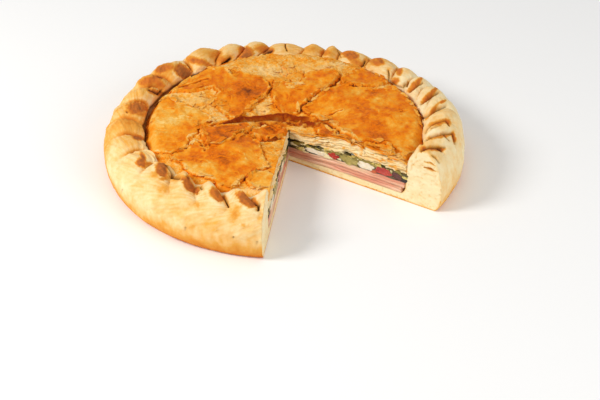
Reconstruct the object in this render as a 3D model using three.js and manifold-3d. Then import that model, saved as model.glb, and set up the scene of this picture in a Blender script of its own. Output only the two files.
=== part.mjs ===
// A round ham and cheese tart with one slice cut out of it.
//
// A pastry shell holds two slices of ham and a layer of chopped vegetables, and a flaky lid
// closes it. The edge of the shell is rolled up and crimped like a rope. The two cut faces
// meet at the apex, a little off the tart's centre, and show every layer.
//
// Millimetres and degrees. Z is up, the tart stands on z = 0 and the origin is the middle
// of its base. Angles turn anticlockwise as seen from above, from +X.

import * as THREE from 'three';
import { mergeVertices } from 'three/addons/utils/BufferGeometryUtils.js';
import Module from 'manifold-3d';

const wasm = await Module();
wasm.setup();

// ---- Driving dimensions ----

const TART_RADIUS = 135.5; // the widest part of the wall
const BULGE_HEIGHT = 17; // how high that is
const BASE_RADIUS = 129;
const CREST_RADIUS = 120.5; // top of the rolled rim
const CREST_HEIGHT = 39.4; // its mean height
const GROOVE_RADIUS = 105.8; // where the rim meets the lid
const GROOVE_HEIGHT = 30;

const APEX_X = 3.1; // the cuts meet here, at y = 0
const CUT_RIGHT = -33.5; // direction of the right cut face
const CUT_LEFT = 262.5; // direction of the left cut face

const FLOOR_TOP = 5.5; // heights of the layers, away from the middle
const HAM_THICKNESS = 4.5;
const FILLING_TOP = 22.2;
const LID_TOP = 34.6;
const GAP = 0.3; // between layers that lie on each other

const CRIMP_PITCH = 11.25;
const FIRST_CRIMP = 38; // a crease lies half a pitch before this angle
const CRIMP_DEPTH = 5.2;
const CRIMP_LEAN = 6; // degrees that a ridge turns between groove and crest
const CRIMP_HOOK = 4; // and how far it turns back on its way down the wall

const VENT_WIDTH = 3.4;
const VENT_DEPTH = 6;
const VENT = [[-51, -4], [-26, 7.5], [-2, 14.2], [20, 14]]; // slit in the lid, in plan

// ---- Small helpers ----

const radians = THREE.MathUtils.degToRad;
const smooth = THREE.MathUtils.smoothstep;
const bell = (x, width) => Math.exp(-((x / width) ** 2));

/** A repeatable number from 0 to 1 for a whole number and a seed. */
function chance(index, seed) {
  const value = Math.sin(index * 12.9898 + seed * 78.233) * 43758.5453;
  return value - Math.floor(value);
}

/** Distance from the apex to the tart's widest outline, in one direction. */
function reach(angle) {
  const along = APEX_X * Math.cos(angle);
  return Math.sqrt(along ** 2 + TART_RADIUS ** 2 - APEX_X ** 2) - along;
}

/**
 * A point of the tart: all circles shrink towards the apex, so that both cut faces are
 * plane. `side` moves it across its own radius, for the relief of a cut face.
 */
function place(degrees, radius, height, side = 0) {
  const angle = radians(degrees);
  const distance = (reach(angle) * radius) / TART_RADIUS;
  return [
    APEX_X + distance * Math.cos(angle) - side * Math.sin(angle),
    distance * Math.sin(angle) + side * Math.cos(angle),
    height,
  ];
}

/** The filling and lid sink towards the middle, and most at the tip of the left cut. */
function settle(degrees, radius) {
  const middle = 0.19 * (1 - smooth(radius, 8, 55));
  const tip = 0.2 * bell(radius - 7, 13) * smooth(degrees, 190, 255);
  return 1 - middle - tip;
}

/** Angles from the right cut to the left one, evenly spaced. */
function spread(count) {
  const step = (CUT_LEFT - CUT_RIGHT) / Math.max(count - 1, 1);
  return Array.from({ length: count }, (_, i) => CUT_RIGHT + step * i);
}

/** A closed surface, built up from rows of corners that are joined by triangles. */
class Skin {
  corners = [];
  faces = [];

  corner(point) {
    return this.corners.push(point) - 1;
  }

  /** A row from the right cut to the left one; on the axis it has one corner. */
  row(angles, pointAt) {
    return angles.map((degrees) => this.corner(pointAt(degrees)));
  }

  /** Joins two rows of any counts that run the same way, alike whichever is below. */
  stitch(below, above) {
    const next = (row, i) => (i + 1 < row.length ? (i + 1) / (row.length - 1) : Infinity);
    let i = 0;
    let j = 0;
    while (i < below.length - 1 || j < above.length - 1) {
      const lead = next(above, j) - next(below, i);
      if (lead > 0 || (!(lead < 0) && below.length > above.length)) {
        this.triangle(below[i], below[i + 1], above[j]);
        i += 1;
      } else {
        this.triangle(below[i], above[j + 1], above[j]);
        j += 1;
      }
    }
  }

  triangle(a, b, c) {
    if (a !== b && b !== c && a !== c) this.faces.push(a, b, c);
  }

  /** Closes a flat end whose corners have the given outline, [radius, height] each. */
  cap(row, outline, flip) {
    const contour = outline.map(([radius, height]) => new THREE.Vector2(radius, height));
    for (const [a, b, c] of THREE.ShapeUtils.triangulateShape(contour, [])) {
      if (flip) this.triangle(row[a], row[c], row[b]);
      else this.triangle(row[a], row[b], row[c]);
    }
  }

  geometry() {
    const geometry = new THREE.BufferGeometry();
    const position = new THREE.Float32BufferAttribute(this.corners.flat(), 3);
    geometry.setAttribute('position', position);
    geometry.setIndex(this.faces);
    return geometry;
  }
}

// ---- Booleans ----

/** Turns a closed geometry into a solid that can be cut and joined. */
function solid(geometry) {
  const bare = geometry.clone();
  bare.deleteAttribute('normal');
  bare.deleteAttribute('uv');
  const merged = mergeVertices(bare, 1e-4);
  const vertProperties = new Float32Array(merged.attributes.position.array);
  const triVerts = new Uint32Array(merged.index.array);
  return new wasm.Manifold(new wasm.Mesh({ numProp: 3, vertProperties, triVerts }));
}

function fromSolid(manifold) {
  const mesh = manifold.getMesh();
  const geometry = new THREE.BufferGeometry();
  geometry.setAttribute('position', new THREE.BufferAttribute(mesh.vertProperties, 3));
  geometry.setIndex(new THREE.BufferAttribute(mesh.triVerts, 1));
  return geometry;
}

// ---- The shell: floor, wall and rope-like rim in one piece ----

const LAYER_RINGS = [[0, 1], [11, 9], [28, 17], [50, 27], [76, 33], [99, 39]];
const CORNERS_PER_CRIMP = 8;
const WALL_ANGLES = spread(69);
const RIM_ANGLES = crimpAngles();

/** Where the crease before a crimp lies; no two crimps are equally wide. */
function crease(index) {
  return FIRST_CRIMP + CRIMP_PITCH * (index - 0.5 + 0.22 * (chance(index, 1) - 0.5));
}

/** Each crimp gets the same number of corners, so that every crease is sharp. */
function crimpAngles() {
  const angles = [CUT_RIGHT];
  const first = Math.floor((CUT_RIGHT - FIRST_CRIMP) / CRIMP_PITCH);
  for (let index = first; crease(index) < CUT_LEFT; index += 1) {
    for (let k = 0; k < CORNERS_PER_CRIMP; k += 1) {
      const share = k / CORNERS_PER_CRIMP;
      const angle = THREE.MathUtils.lerp(crease(index), crease(index + 1), share);
      if (angle > CUT_RIGHT + 0.5 && angle < CUT_LEFT - 0.5) angles.push(angle);
    }
  }
  return [...angles, CUT_LEFT];
}

/** The rim stands highest beside the right cut and lowest at the back. */
function crestHeight(degrees) {
  const tilt = 4.2 * Math.cos(radians(degrees - 300));
  const warp = 4 * Math.cos(radians(2 * (degrees - 155)));
  return CREST_HEIGHT + tilt + warp;
}

/** One ridge of the rope: rises slowly, and falls sharply into the next crease. */
function ridge(degrees) {
  let index = Math.round((degrees - FIRST_CRIMP) / CRIMP_PITCH);
  if (degrees < crease(index)) index -= 1;
  if (degrees >= crease(index + 1)) index += 1;
  const share = (degrees - crease(index)) / (crease(index + 1) - crease(index));
  const strength = 0.8 + 0.4 * chance(index, 2);
  return strength * Math.sin(Math.PI * share ** 1.25) ** 0.65 - 0.72;
}

/** The hand-shaped wall is not quite round. */
function unevenness(degrees) {
  const a = radians(degrees);
  return 0.7 * Math.sin(3 * a + 1.1) + 0.5 * Math.sin(7 * a + 0.4) + 0.3 * Math.sin(13 * a);
}

/** Turns the corners of a row with its ridges, but not those at the cuts. */
function leant(degrees, lean) {
  const room = Math.min(degrees - CUT_RIGHT, CUT_LEFT - degrees);
  return degrees + lean * smooth(room, 0, 1.5 * CRIMP_PITCH);
}

/**
 * The section of the shell, from the middle of its underside round the rim to the middle
 * of its floor. Each station has the angles of its corners, their turn with the ridges
 * of the rope, and a [radius, height] for a given angle.
 */
function shellStations() {
  const stations = [];
  const add = (angles, lean, pointAt) => stations.push({ angles, lean, pointAt });
  const plain = (angles, radius, height) => add(angles, 0, () => [radius, height]);

  plain(spread(1), 0, 0);
  plain(WALL_ANGLES, BASE_RADIUS - 3, 0);
  for (const turn of [12, 40, 66]) {
    const radius = BASE_RADIUS + (TART_RADIUS - BASE_RADIUS) * Math.sin(radians(turn));
    plain(WALL_ANGLES, radius, BULGE_HEIGHT * (1 - Math.cos(radians(turn))));
  }
  for (const turn of [0, 20, 38, 54, 72, 90]) {
    const lean = CRIMP_LEAN - CRIMP_HOOK * (1 - turn / 90) ** 2;
    add(turn ? RIM_ANGLES : WALL_ANGLES, lean, (degrees) => outerRim(degrees, turn, lean));
  }
  for (const turn of [24, 48, 70, 90]) {
    const lean = CRIMP_LEAN * (1 - (turn / 90) ** 2);
    add(RIM_ANGLES, lean, (degrees) => innerRim(degrees, turn, lean));
  }
  plain(WALL_ANGLES, GROOVE_RADIUS - 0.4, FILLING_TOP);
  plain(WALL_ANGLES, GROOVE_RADIUS - 1.4, FLOOR_TOP + 5);
  plain(WALL_ANGLES, GROOVE_RADIUS - 3.4, FLOOR_TOP + 1.2);
  for (const [radius, corners] of [...LAYER_RINGS].reverse()) {
    add(spread(corners), 0, (degrees) => [radius, FLOOR_TOP * settle(degrees, radius)]);
  }
  return stations;
}

/** Moves a point of the rim away from the core of the roll. */
function crimped(degrees, radius, height, lean, depth) {
  const coreRadius = CREST_RADIUS - 1.5;
  const coreHeight = 0.62 * crestHeight(degrees);
  const out = new THREE.Vector2(radius - coreRadius, height - coreHeight).normalize();
  const push = depth * ridge(degrees - lean);
  return [radius + out.x * push, height + out.y * push];
}

/** Outer side of the roll, from the bulge (turn 0) up to the crest (turn 90). */
function outerRim(degrees, turn, lean) {
  const angle = radians(turn);
  const radius = CREST_RADIUS + (TART_RADIUS - CREST_RADIUS) * Math.cos(angle);
  const height = BULGE_HEIGHT + (crestHeight(degrees) - BULGE_HEIGHT) * Math.sin(angle);
  // The ridges fade down the wall, and hook back as they do. On the left half of the
  // tart fingers pressed a shallow dent below each of them.
  const pressed = -0.5 * bell(turn - 32, 16) * smooth(degrees, 130, 170);
  const depth = CRIMP_DEPTH * (smooth(turn, 12, 80) + pressed);
  const [r, z] = crimped(degrees, radius, height, lean, depth);
  return [r + unevenness(degrees) * Math.sin(2 * angle), z];
}

/** Inner side of the roll, from the crest (turn 0) down to the groove (turn 90). */
function innerRim(degrees, turn, lean) {
  const angle = radians(turn);
  const radius = CREST_RADIUS - (CREST_RADIUS - GROOVE_RADIUS) * Math.sin(angle);
  const height = GROOVE_HEIGHT + (crestHeight(degrees) - GROOVE_HEIGHT) * Math.cos(angle);
  return crimped(degrees, radius, height, lean, CRIMP_DEPTH * (1 - smooth(turn, 30, 90)));
}

function crustShell() {
  const skin = new Skin();
  const stations = shellStations();
  const rows = stations.map(({ angles, lean, pointAt }) =>
    skin.row(angles, (degrees) => {
      const turned = leant(degrees, lean);
      return place(turned, ...pointAt(turned));
    }),
  );
  for (let k = 1; k < rows.length; k += 1) skin.stitch(rows[k - 1], rows[k]);
  const outline = (degrees) => stations.map(({ pointAt }) => pointAt(degrees));
  skin.cap(rows.map((row) => row[0]), outline(CUT_RIGHT), false);
  skin.cap(rows.map((row) => row[row.length - 1]), outline(CUT_LEFT), true);
  return skin.geometry();
}

// ---- Layers inside the shell ----

const SIDE_ANGLES = spread(51);

/**
 * A layer that runs through the tart. `rings` and `underRings` are [radius, corners] pairs
 * for its two sides, `levels` is how many rows its cut faces have between them, and
 * `relief(distance, level, face)` is how far a point of a cut face stands out.
 */
function layer({ rings, underRings, top, bottom, levels = 0, relief = () => 0 }) {
  const skin = new Skin();
  const surface = (list, height) =>
    list.map(([radius, corners]) =>
      skin.row(spread(corners), (degrees) => place(degrees, radius, height(degrees, radius))),
    );
  const upper = surface(rings, top);
  const under = surface(underRings, bottom);
  for (let k = 1; k < upper.length; k += 1) skin.stitch(upper[k], upper[k - 1]);
  for (let k = 1; k < under.length; k += 1) skin.stitch(under[k - 1], under[k]);

  const mix = (degrees, radius, share) =>
    THREE.MathUtils.lerp(bottom(degrees, radius), top(degrees, radius), share);
  const [outerRadius] = rings[rings.length - 1];
  const sideRows = [under[under.length - 1]];
  const rightRows = [under.map((row) => row[0])];
  const leftRows = [under.map((row) => row[row.length - 1])];
  for (let level = 1; level <= levels; level += 1) {
    const share = level / (levels + 1);
    const side = skin.row(SIDE_ANGLES, (degrees) =>
      place(degrees, outerRadius, mix(degrees, outerRadius, share)),
    );
    const axis = skin.corner(place(CUT_RIGHT, 0, mix(CUT_RIGHT, 0, share)));
    const face = (degrees, outward, end) =>
      rings.map(([radius], k) => {
        if (k === 0) return axis;
        if (k === rings.length - 1) return end;
        const stand = outward * relief(radius, level, outward);
        return skin.corner(place(degrees, radius, mix(degrees, radius, share), stand));
      });
    sideRows.push(side);
    rightRows.push(face(CUT_RIGHT, -1, side[0]));
    leftRows.push(face(CUT_LEFT, 1, side[side.length - 1]));
  }
  sideRows.push(upper[upper.length - 1]);
  rightRows.push(upper.map((row) => row[0]));
  leftRows.push(upper.map((row) => row[row.length - 1]));
  for (let k = 1; k < sideRows.length; k += 1) {
    skin.stitch(sideRows[k - 1], sideRows[k]);
    skin.stitch(rightRows[k - 1], rightRows[k]);
    skin.stitch([...leftRows[k - 1]].reverse(), [...leftRows[k]].reverse());
  }
  return skin.geometry();
}

/** Height of a level of the tart, sunk towards the middle. */
const level = (height) => (degrees, radius) => height * settle(degrees, radius);

function hamSlice(bottom) {
  const rings = LAYER_RINGS;
  return layer({ rings, underRings: rings, bottom: level(bottom), top: level(bottom + HAM_THICKNESS) });
}

const FILLING_RINGS = [...LAYER_RINGS, [103.6, 43]];

function filling(bottom) {
  const lump = (distance, row, face) => 0.7 * (chance(Math.round(distance) + row * 31, 4 + face) - 0.6);
  return layer({
    rings: FILLING_RINGS,
    underRings: FILLING_RINGS,
    bottom: level(bottom),
    top: level(FILLING_TOP),
    levels: 2,
    relief: lump,
  });
}

// ---- The lid ----

const LID_RADIUS = 104.7;
const LID_FLAKE_ROWS = 6;
const LID_RINGS = [[0, 1], [5, 8], [10, 14], [15, 20], [20, 26]].concat(
  Array.from({ length: 15 }, (_, k) => [25 + 5 * k, 32 + 5 * k]),
  [[99, 104], [102, 104], [LID_RADIUS, 104]],
);

// Sheets of top pastry in plan: middle, and how far each stands above the pale ones.
const LID_SHEETS = [
  { x: -34, y: 42, height: 1.9 },
  { x: 4, y: 39, height: 1.5 },
  { x: 62, y: 62, height: 2.3 },
  { x: 62, y: -5, height: 1.6 },
  { x: -76, y: -8, height: 1.6 },
  { x: -38, y: -62, height: 1.7 },
  { x: -23, y: -8, height: 2.2 },
  { x: -12, y: 76, height: 0 },
  { x: -60, y: 26, height: -0.6 },
  { x: 30, y: 78, height: 0.3 },
  { x: 38, y: -26, height: 0.2 },
  { x: 23, y: 33, height: 0.8 },
  { x: -70, y: -60, height: 0.1 },
  { x: -28, y: -92, height: 0 },
  { x: -62, y: 66, height: 0.9 },
  { x: 22, y: 4, height: -1.8 },
];

/** Height of the pastry sheet that covers a place, with torn, wavy borders between them. */
function sheetHeight(x, y) {
  const warpX = x + 5 * Math.sin(y / 9 + 1) + 2.5 * Math.sin(x / 5 + y / 7);
  const warpY = y + 5 * Math.sin(x / 11) + 2.5 * Math.sin(y / 5 - x / 6);
  const distances = LID_SHEETS.map((sheet) => Math.hypot(warpX - sheet.x, warpY - sheet.y));
  const nearest = distances.indexOf(Math.min(...distances));
  return LID_SHEETS[nearest].height;
}

/** Blisters and folds of the baked sheet. */
function wrinkle(x, y) {
  const broad = Math.sin(x / 13 + 2) * Math.sin(y / 17 + 0.5);
  const fine = Math.sin(x / 4.2 + y / 9) * Math.sin(y / 5.1 - x / 11);
  return 0.9 * broad + 0.35 * fine;
}

function lidTop(degrees, radius) {
  const [x, y] = place(degrees, radius, 0);
  const edge = 4.2 * smooth(radius, 95, LID_RADIUS);
  const flakes = (sheetHeight(x, y) + wrinkle(x, y)) * smooth(radius, 0, 12) * (1 - smooth(radius, 99, 104));
  return (LID_TOP - edge) * settle(degrees, radius) + flakes;
}

/** Thin leaves of pastry stand out of the cut faces, with gaps between them. */
function leafEdge(distance, row, face) {
  const out = row % 2 ? 0.5 : -0.9;
  return out * (0.5 + chance(Math.round(distance) + row * 17, 6 + face));
}

/** The slit for steam: a wedge-shaped blade along its path. */
function ventBlade(lidHeight) {
  const path = new THREE.CatmullRomCurve3(VENT.map(([x, y]) => new THREE.Vector3(x, y, 0)));
  const steps = 14;
  const corners = [];
  const faces = [];
  for (let k = 0; k <= steps; k += 1) {
    const share = k / steps;
    const middle = path.getPoint(share);
    const tangent = path.getTangent(share);
    const half = (VENT_WIDTH / 2) * Math.sin(Math.PI * THREE.MathUtils.lerp(0.12, 0.88, share)) ** 0.7;
    const bottom = lidHeight(middle.x, middle.y) - VENT_DEPTH;
    for (const [side, height] of [[half, LID_TOP + 6], [-half, LID_TOP + 6], [0, bottom]]) {
      corners.push(middle.x - tangent.y * side, middle.y + tangent.x * side, height);
    }
  }
  for (let k = 0; k < steps; k += 1) {
    for (let side = 0; side < 3; side += 1) {
      const a = 3 * k + side;
      const b = 3 * k + ((side + 1) % 3);
      faces.push(a, b, a + 3, b, b + 3, a + 3);
    }
  }
  faces.push(0, 2, 1, 3 * steps, 3 * steps + 1, 3 * steps + 2);
  const geometry = new THREE.BufferGeometry();
  geometry.setAttribute('position', new THREE.Float32BufferAttribute(corners, 3));
  geometry.setIndex(faces);
  return geometry;
}

function topCrust() {
  const body = layer({
    rings: LID_RINGS,
    underRings: [...LAYER_RINGS, [LID_RADIUS, 51]],
    bottom: level(FILLING_TOP + GAP),
    top: lidTop,
    levels: LID_FLAKE_ROWS,
    relief: leafEdge,
  });
  const meanTop = (x, y) => LID_TOP * settle(0, Math.hypot(x, y));
  return fromSolid(solid(body).subtract(solid(ventBlade(meanTop))));
}

// ---- Pieces that show in the filling at the cuts ----

const RIGHT = CUT_RIGHT;
const LEFT = CUT_LEFT;

// `at` is the distance from the apex along the cut, `up` the height of the middle, and
// `size` the length along the cut, the depth into the tart and the height.
const PIECES = [
  { name: 'pepper_red_inner', cut: RIGHT, at: 40.5, up: 18.6, size: [8, 7, 5.4], colour: '#b8231c' },
  { name: 'cheese_inner', cut: RIGHT, at: 25, up: 18.1, size: [14, 9, 4.4], colour: '#efe6cf' },
  { name: 'artichoke_middle', cut: RIGHT, at: 54, up: 18.4, size: [14, 10, 5.6], colour: '#a9a050' },
  { name: 'cheese_middle', cut: RIGHT, at: 69, up: 18.9, size: [12, 10, 5.2], colour: '#f4eddb' },
  { name: 'pepper_red_outer', cut: RIGHT, at: 84, up: 19, size: [13, 8, 5.2], colour: '#c02a20' },
  { name: 'pepper_roasted', cut: RIGHT, at: 95.5, up: 19.3, size: [7.6, 7, 5], colour: '#5e1f14' },
  { name: 'cheese_left_inner', cut: LEFT, at: 36, up: 18.4, size: [14, 9, 5.2], colour: '#f4eddb' },
  { name: 'pepper_left', cut: LEFT, at: 53, up: 18.8, size: [10, 8, 5.4], colour: '#a3402a' },
  { name: 'artichoke_left', cut: LEFT, at: 70, up: 18.8, size: [14, 10, 5.6], colour: '#a9a050' },
  { name: 'cheese_left_outer', cut: LEFT, at: 88, up: 19, size: [13, 9, 5.2], colour: '#efe6cf' },
];

/** A lumpy half: rounded inside the tart, sliced flat 0.5 mm outside the cut face. */
function pieceGeometry({ cut, at, up, size }, grown) {
  const geometry = new THREE.IcosahedronGeometry(1, 1);
  const position = geometry.attributes.position;
  const corner = new THREE.Vector3();
  const proud = 0.5;
  const outward = cut === RIGHT ? -1 : 1;
  const angle = radians(cut);
  for (let k = 0; k < position.count; k += 1) {
    corner.fromBufferAttribute(position, k);
    const lumps = 1 + 0.1 * Math.sin(4 * corner.x + at) * Math.cos(3 * corner.y + at);
    const along = at + corner.x * lumps * (size[0] / 2 + grown);
    const across = Math.min(outward * corner.y, proud / size[1]) * (size[1] + grown);
    const side = outward * across;
    const height = (up + corner.z * lumps * (size[2] / 2 + grown)) * settle(cut, at);
    position.setXYZ(
      k,
      APEX_X + along * Math.cos(angle) - side * Math.sin(angle),
      along * Math.sin(angle) + side * Math.cos(angle),
      height,
    );
  }
  return geometry;
}

/** The same lump a little larger, and open towards the cut, to make room for it. */
function pocket(piece) {
  return solid(pieceGeometry(piece, GAP)).hull();
}

// ---- Assembly ----

function mesh(name, geometry, colour, roughness) {
  const material = new THREE.MeshStandardMaterial({ color: colour, roughness, metalness: 0 });
  const result = new THREE.Mesh(geometry, material);
  result.name = name;
  return result;
}

const hamBottom = FLOOR_TOP + GAP;
const upperHamBottom = hamBottom + HAM_THICKNESS + GAP;
const fillingBottom = upperHamBottom + HAM_THICKNESS + GAP;

const group = new THREE.Group();
group.add(mesh('crust_shell', crustShell(), '#e6c084', 0.75));
group.add(mesh('ham_lower', hamSlice(hamBottom), '#e9a994', 0.45));
group.add(mesh('ham_upper', hamSlice(upperHamBottom), '#f0b8a6', 0.45));

let vegetables = solid(filling(fillingBottom));
for (const piece of PIECES) {
  vegetables = vegetables.subtract(pocket(piece));
  group.add(mesh(piece.name, pieceGeometry(piece, 0), piece.colour, 0.4));
}
group.add(mesh('vegetable_filling', fromSolid(vegetables), '#8f8a4c', 0.5));
group.add(mesh('top_crust', topCrust(), '#dc8424', 0.4));

export default group;
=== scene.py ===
"""A ham and cheese tart with one slice cut out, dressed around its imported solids."""

import math

import bmesh
import bpy
import numpy as np
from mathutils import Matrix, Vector
from mathutils.geometry import delaunay_2d_cdt


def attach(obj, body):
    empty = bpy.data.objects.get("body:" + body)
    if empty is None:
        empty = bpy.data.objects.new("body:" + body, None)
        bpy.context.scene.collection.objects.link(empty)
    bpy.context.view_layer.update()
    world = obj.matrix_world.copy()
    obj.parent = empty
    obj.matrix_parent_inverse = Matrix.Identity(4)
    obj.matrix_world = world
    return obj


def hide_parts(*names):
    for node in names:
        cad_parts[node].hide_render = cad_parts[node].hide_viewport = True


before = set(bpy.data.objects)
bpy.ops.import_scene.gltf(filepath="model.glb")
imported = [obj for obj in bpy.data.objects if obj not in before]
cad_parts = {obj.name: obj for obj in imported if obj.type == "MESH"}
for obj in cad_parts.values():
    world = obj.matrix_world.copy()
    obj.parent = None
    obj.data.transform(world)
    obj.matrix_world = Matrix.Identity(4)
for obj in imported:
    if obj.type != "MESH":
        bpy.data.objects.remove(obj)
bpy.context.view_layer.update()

bl_info = {
    "name": "Ham and cheese tart",
    "version": (1, 0, 0),
    "blender": (4, 5, 0),
    "location": "3D View > Sidebar > Tart",
    "description": "Bakes the crust, lid, leaves, ham and filling of a cut tart",
    "category": "Add Mesh",
}

BODY = "root"
MM = 0.001

# ---- The tart's sizes, in millimetres and degrees, as in its solids ----

TART_RADIUS = 135.5
BULGE_HEIGHT = 17.0
BASE_RADIUS = 129.0
CREST_RADIUS = 120.5
CREST_HEIGHT = 39.4
GROOVE_RADIUS = 105.8
GROOVE_HEIGHT = 30.0
# The two cuts meet at this x, where y is 0, and run outwards in these directions.
APEX_X = 3.1
CUT_RIGHT = -33.5
CUT_LEFT = 262.5
# The direction that unplace gives falls by a full turn here, before the left cut. The
# lid beyond it doesn't follow the tip of the left cut down.
TURN_BACK = CUT_LEFT - 32
FLOOR_TOP = 5.5
HAM_THICKNESS = 4.5
FILLING_TOP = 22.2
LID_TOP = 34.6
LID_RADIUS = 104.7
# Space between one layer and the next.
GAP = 0.3
CRIMP_PITCH = 11.25
CRIMP_DEPTH = 5.2
# Towards the middle the layers sink by this share of their height. It begins at the
# first radius and is full at the second.
SINK_SHARE = 0.19
SINK_START = 55
SINK_END = 8

# ---- The photograph's camera, in millimetres around the tart's middle ----

CAMERA_ELEVATION = 33.04
CAMERA_DISTANCE = 1300.0
CAMERA_TARGET = (11.8, -55.3)
FOCAL_PIXELS = 1775.0
PHOTO_SIZE = (600, 400)
SENSOR_WIDTH = 36.0


# ---- Numbers and fields ----

def smooth(x, low, high):
    """Rises from 0 at low to 1 at high, with soft ends."""
    t = np.clip((np.asarray(x, float) - low) / (high - low), 0, 1)
    return t * t * (3 - 2 * t)


def bell(x, width):
    """1 at x = 0, falling away on both sides."""
    return np.exp(-((np.asarray(x, float) / width) ** 2))


def blend(a, b, share):
    """From a at share 0 to b at share 1."""
    return a + (b - a) * share


def chance(index, seed):
    """A repeatable number from 0 to 1 for whole numbers and a seed, as in the solids."""
    value = np.sin(np.asarray(index, float) * 12.9898 + seed * 78.233) * 43758.5453
    return value - np.floor(value)


def lattice(ix, iy, seed):
    """A repeatable number from -1 to 1 for each whole-number place."""
    word = 0xFFFFFFFF
    h = (ix * 374761393 + iy * 668265263 + seed * 144269504) & word
    h = ((h ^ (h >> 13)) * 1274126177) & word
    return ((h ^ (h >> 16)) / word) * 2 - 1


def noise(x, y, seed=0):
    """Smooth noise from -1 to 1 over a plane."""
    x, y = np.broadcast_arrays(np.asarray(x, float), np.asarray(y, float))
    ix, iy = np.floor(x).astype(np.int64), np.floor(y).astype(np.int64)
    fx, fy = x - ix, y - iy
    fx, fy = fx * fx * (3 - 2 * fx), fy * fy * (3 - 2 * fy)
    low = blend(lattice(ix, iy, seed), lattice(ix + 1, iy, seed), fx)
    high = blend(lattice(ix, iy + 1, seed), lattice(ix + 1, iy + 1, seed), fx)
    return blend(low, high, fy)


def fractal(x, y, seed=0, octaves=4):
    """Noise that adds ever finer noise to itself."""
    total, size = 0.0, 0.5
    for k in range(octaves):
        total = total + size * noise(x * 2**k + 17.3 * k, y * 2**k - 9.1 * k, seed + 31 * k)
        size *= 0.5
    return total


def outline_distance(x, y, outline):
    """Distance to a closed outline in plan, above 0 inside it."""
    nearest = np.full(x.shape, np.inf)
    inside = np.zeros(x.shape, bool)
    for (ax, ay), (bx, by) in zip(outline, outline[1:] + outline[:1]):
        ex, ey = bx - ax, by - ay
        t = np.clip(((x - ax) * ex + (y - ay) * ey) / (ex * ex + ey * ey), 0, 1)
        nearest = np.minimum(nearest, np.hypot(x - ax - ex * t, y - ay - ey * t))
        if ay != by:
            inside ^= ((ay > y) != (by > y)) & (x < ax + ex * (y - ay) / ey)
    return np.where(inside, nearest, -nearest)


def line_distance(x, y, points):
    """Distance to a line of points in plan, how far along it (0 to 1), and which side."""
    nearest = np.full(x.shape, np.inf)
    along = np.zeros(x.shape)
    side = np.zeros(x.shape)
    lengths = [math.dist(a, b) for a, b in zip(points, points[1:])]
    start = 0.0
    for ((ax, ay), (bx, by)), length in zip(zip(points, points[1:]), lengths):
        ex, ey = bx - ax, by - ay
        t = np.clip(((x - ax) * ex + (y - ay) * ey) / length**2, 0, 1)
        distance = np.hypot(x - ax - ex * t, y - ay - ey * t)
        closer = distance < nearest
        nearest = np.where(closer, distance, nearest)
        along = np.where(closer, (start + t * length) / sum(lengths), along)
        side = np.where(closer, np.sign(ex * (y - ay) - ey * (x - ax)), side)
        start += length
    return nearest, along, side


# ---- The tart's own coordinates ----

def reach(angle):
    """Distance from the apex of the cuts to the tart's widest place in a direction."""
    along = APEX_X * np.cos(angle)
    return np.sqrt(along**2 + TART_RADIUS**2 - APEX_X**2) - along


def place(degrees, radius, side=0.0):
    """Plan position of a direction from the apex and a radius of the tart. side moves it
    sideways, in millimetres."""
    angle = np.radians(degrees)
    distance = reach(angle) * radius / TART_RADIUS
    x = APEX_X + distance * np.cos(angle) - side * np.sin(angle)
    y = distance * np.sin(angle) + side * np.cos(angle)
    return x, y


def unplace(x, y):
    """Direction and radius of a plan position; the direction is below TURN_BACK."""
    degrees = np.degrees(np.arctan2(y, x - APEX_X))
    degrees = np.where(degrees < TURN_BACK - 360, degrees + 360, degrees)
    distance = np.hypot(x - APEX_X, y)
    return degrees, distance * TART_RADIUS / reach(np.radians(degrees))


def settle(degrees, radius):
    """The layers sink towards the middle, and most at the tip of the left cut."""
    middle = SINK_SHARE * (1 - smooth(radius, SINK_END, SINK_START))
    tip = 0.2 * bell(radius - 7, 13) * smooth(degrees, 190, 255)
    return 1 - middle - tip


def level(height):
    """A layer's surface, as a function of direction and radius."""
    return lambda degrees, radius: height * settle(degrees, radius)


def seen_at(x, y, z):
    """Pixel at which the photograph's camera sees a place."""
    tilt = math.radians(CAMERA_ELEVATION)
    dx = x - CAMERA_TARGET[0]
    dy = y - CAMERA_TARGET[1] + CAMERA_DISTANCE * math.cos(tilt)
    dz = z - CAMERA_DISTANCE * math.sin(tilt)
    depth = dy * math.cos(tilt) - dz * math.sin(tilt)
    rise = dy * math.sin(tilt) + dz * math.cos(tilt)
    return PHOTO_SIZE[0] / 2 + FOCAL_PIXELS * dx / depth, PHOTO_SIZE[1] / 2 - FOCAL_PIXELS * rise / depth


def on_lid(px, py):
    """Plan position on the lid that the photograph shows at a pixel."""
    tilt = math.radians(CAMERA_ELEVATION)
    forward = Vector((0, math.cos(tilt), -math.sin(tilt)))
    up = Vector((0, math.sin(tilt), math.cos(tilt)))
    eye = Vector((*CAMERA_TARGET, 0)) - forward * CAMERA_DISTANCE
    across, rise = px - PHOTO_SIZE[0] / 2, PHOTO_SIZE[1] / 2 - py
    ray = forward + Vector((1, 0, 0)) * (across / FOCAL_PIXELS) + up * (rise / FOCAL_PIXELS)
    height = LID_TOP
    for _ in range(5):
        point = eye + ray * ((height - eye.z) / ray.z)
        sunk = 1 - float(smooth(math.hypot(point.x, point.y), SINK_END, SINK_START))
        height = LID_TOP * (1 - SINK_SHARE * sunk)
    return point.x, point.y


# ---- Making meshes ----

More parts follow.
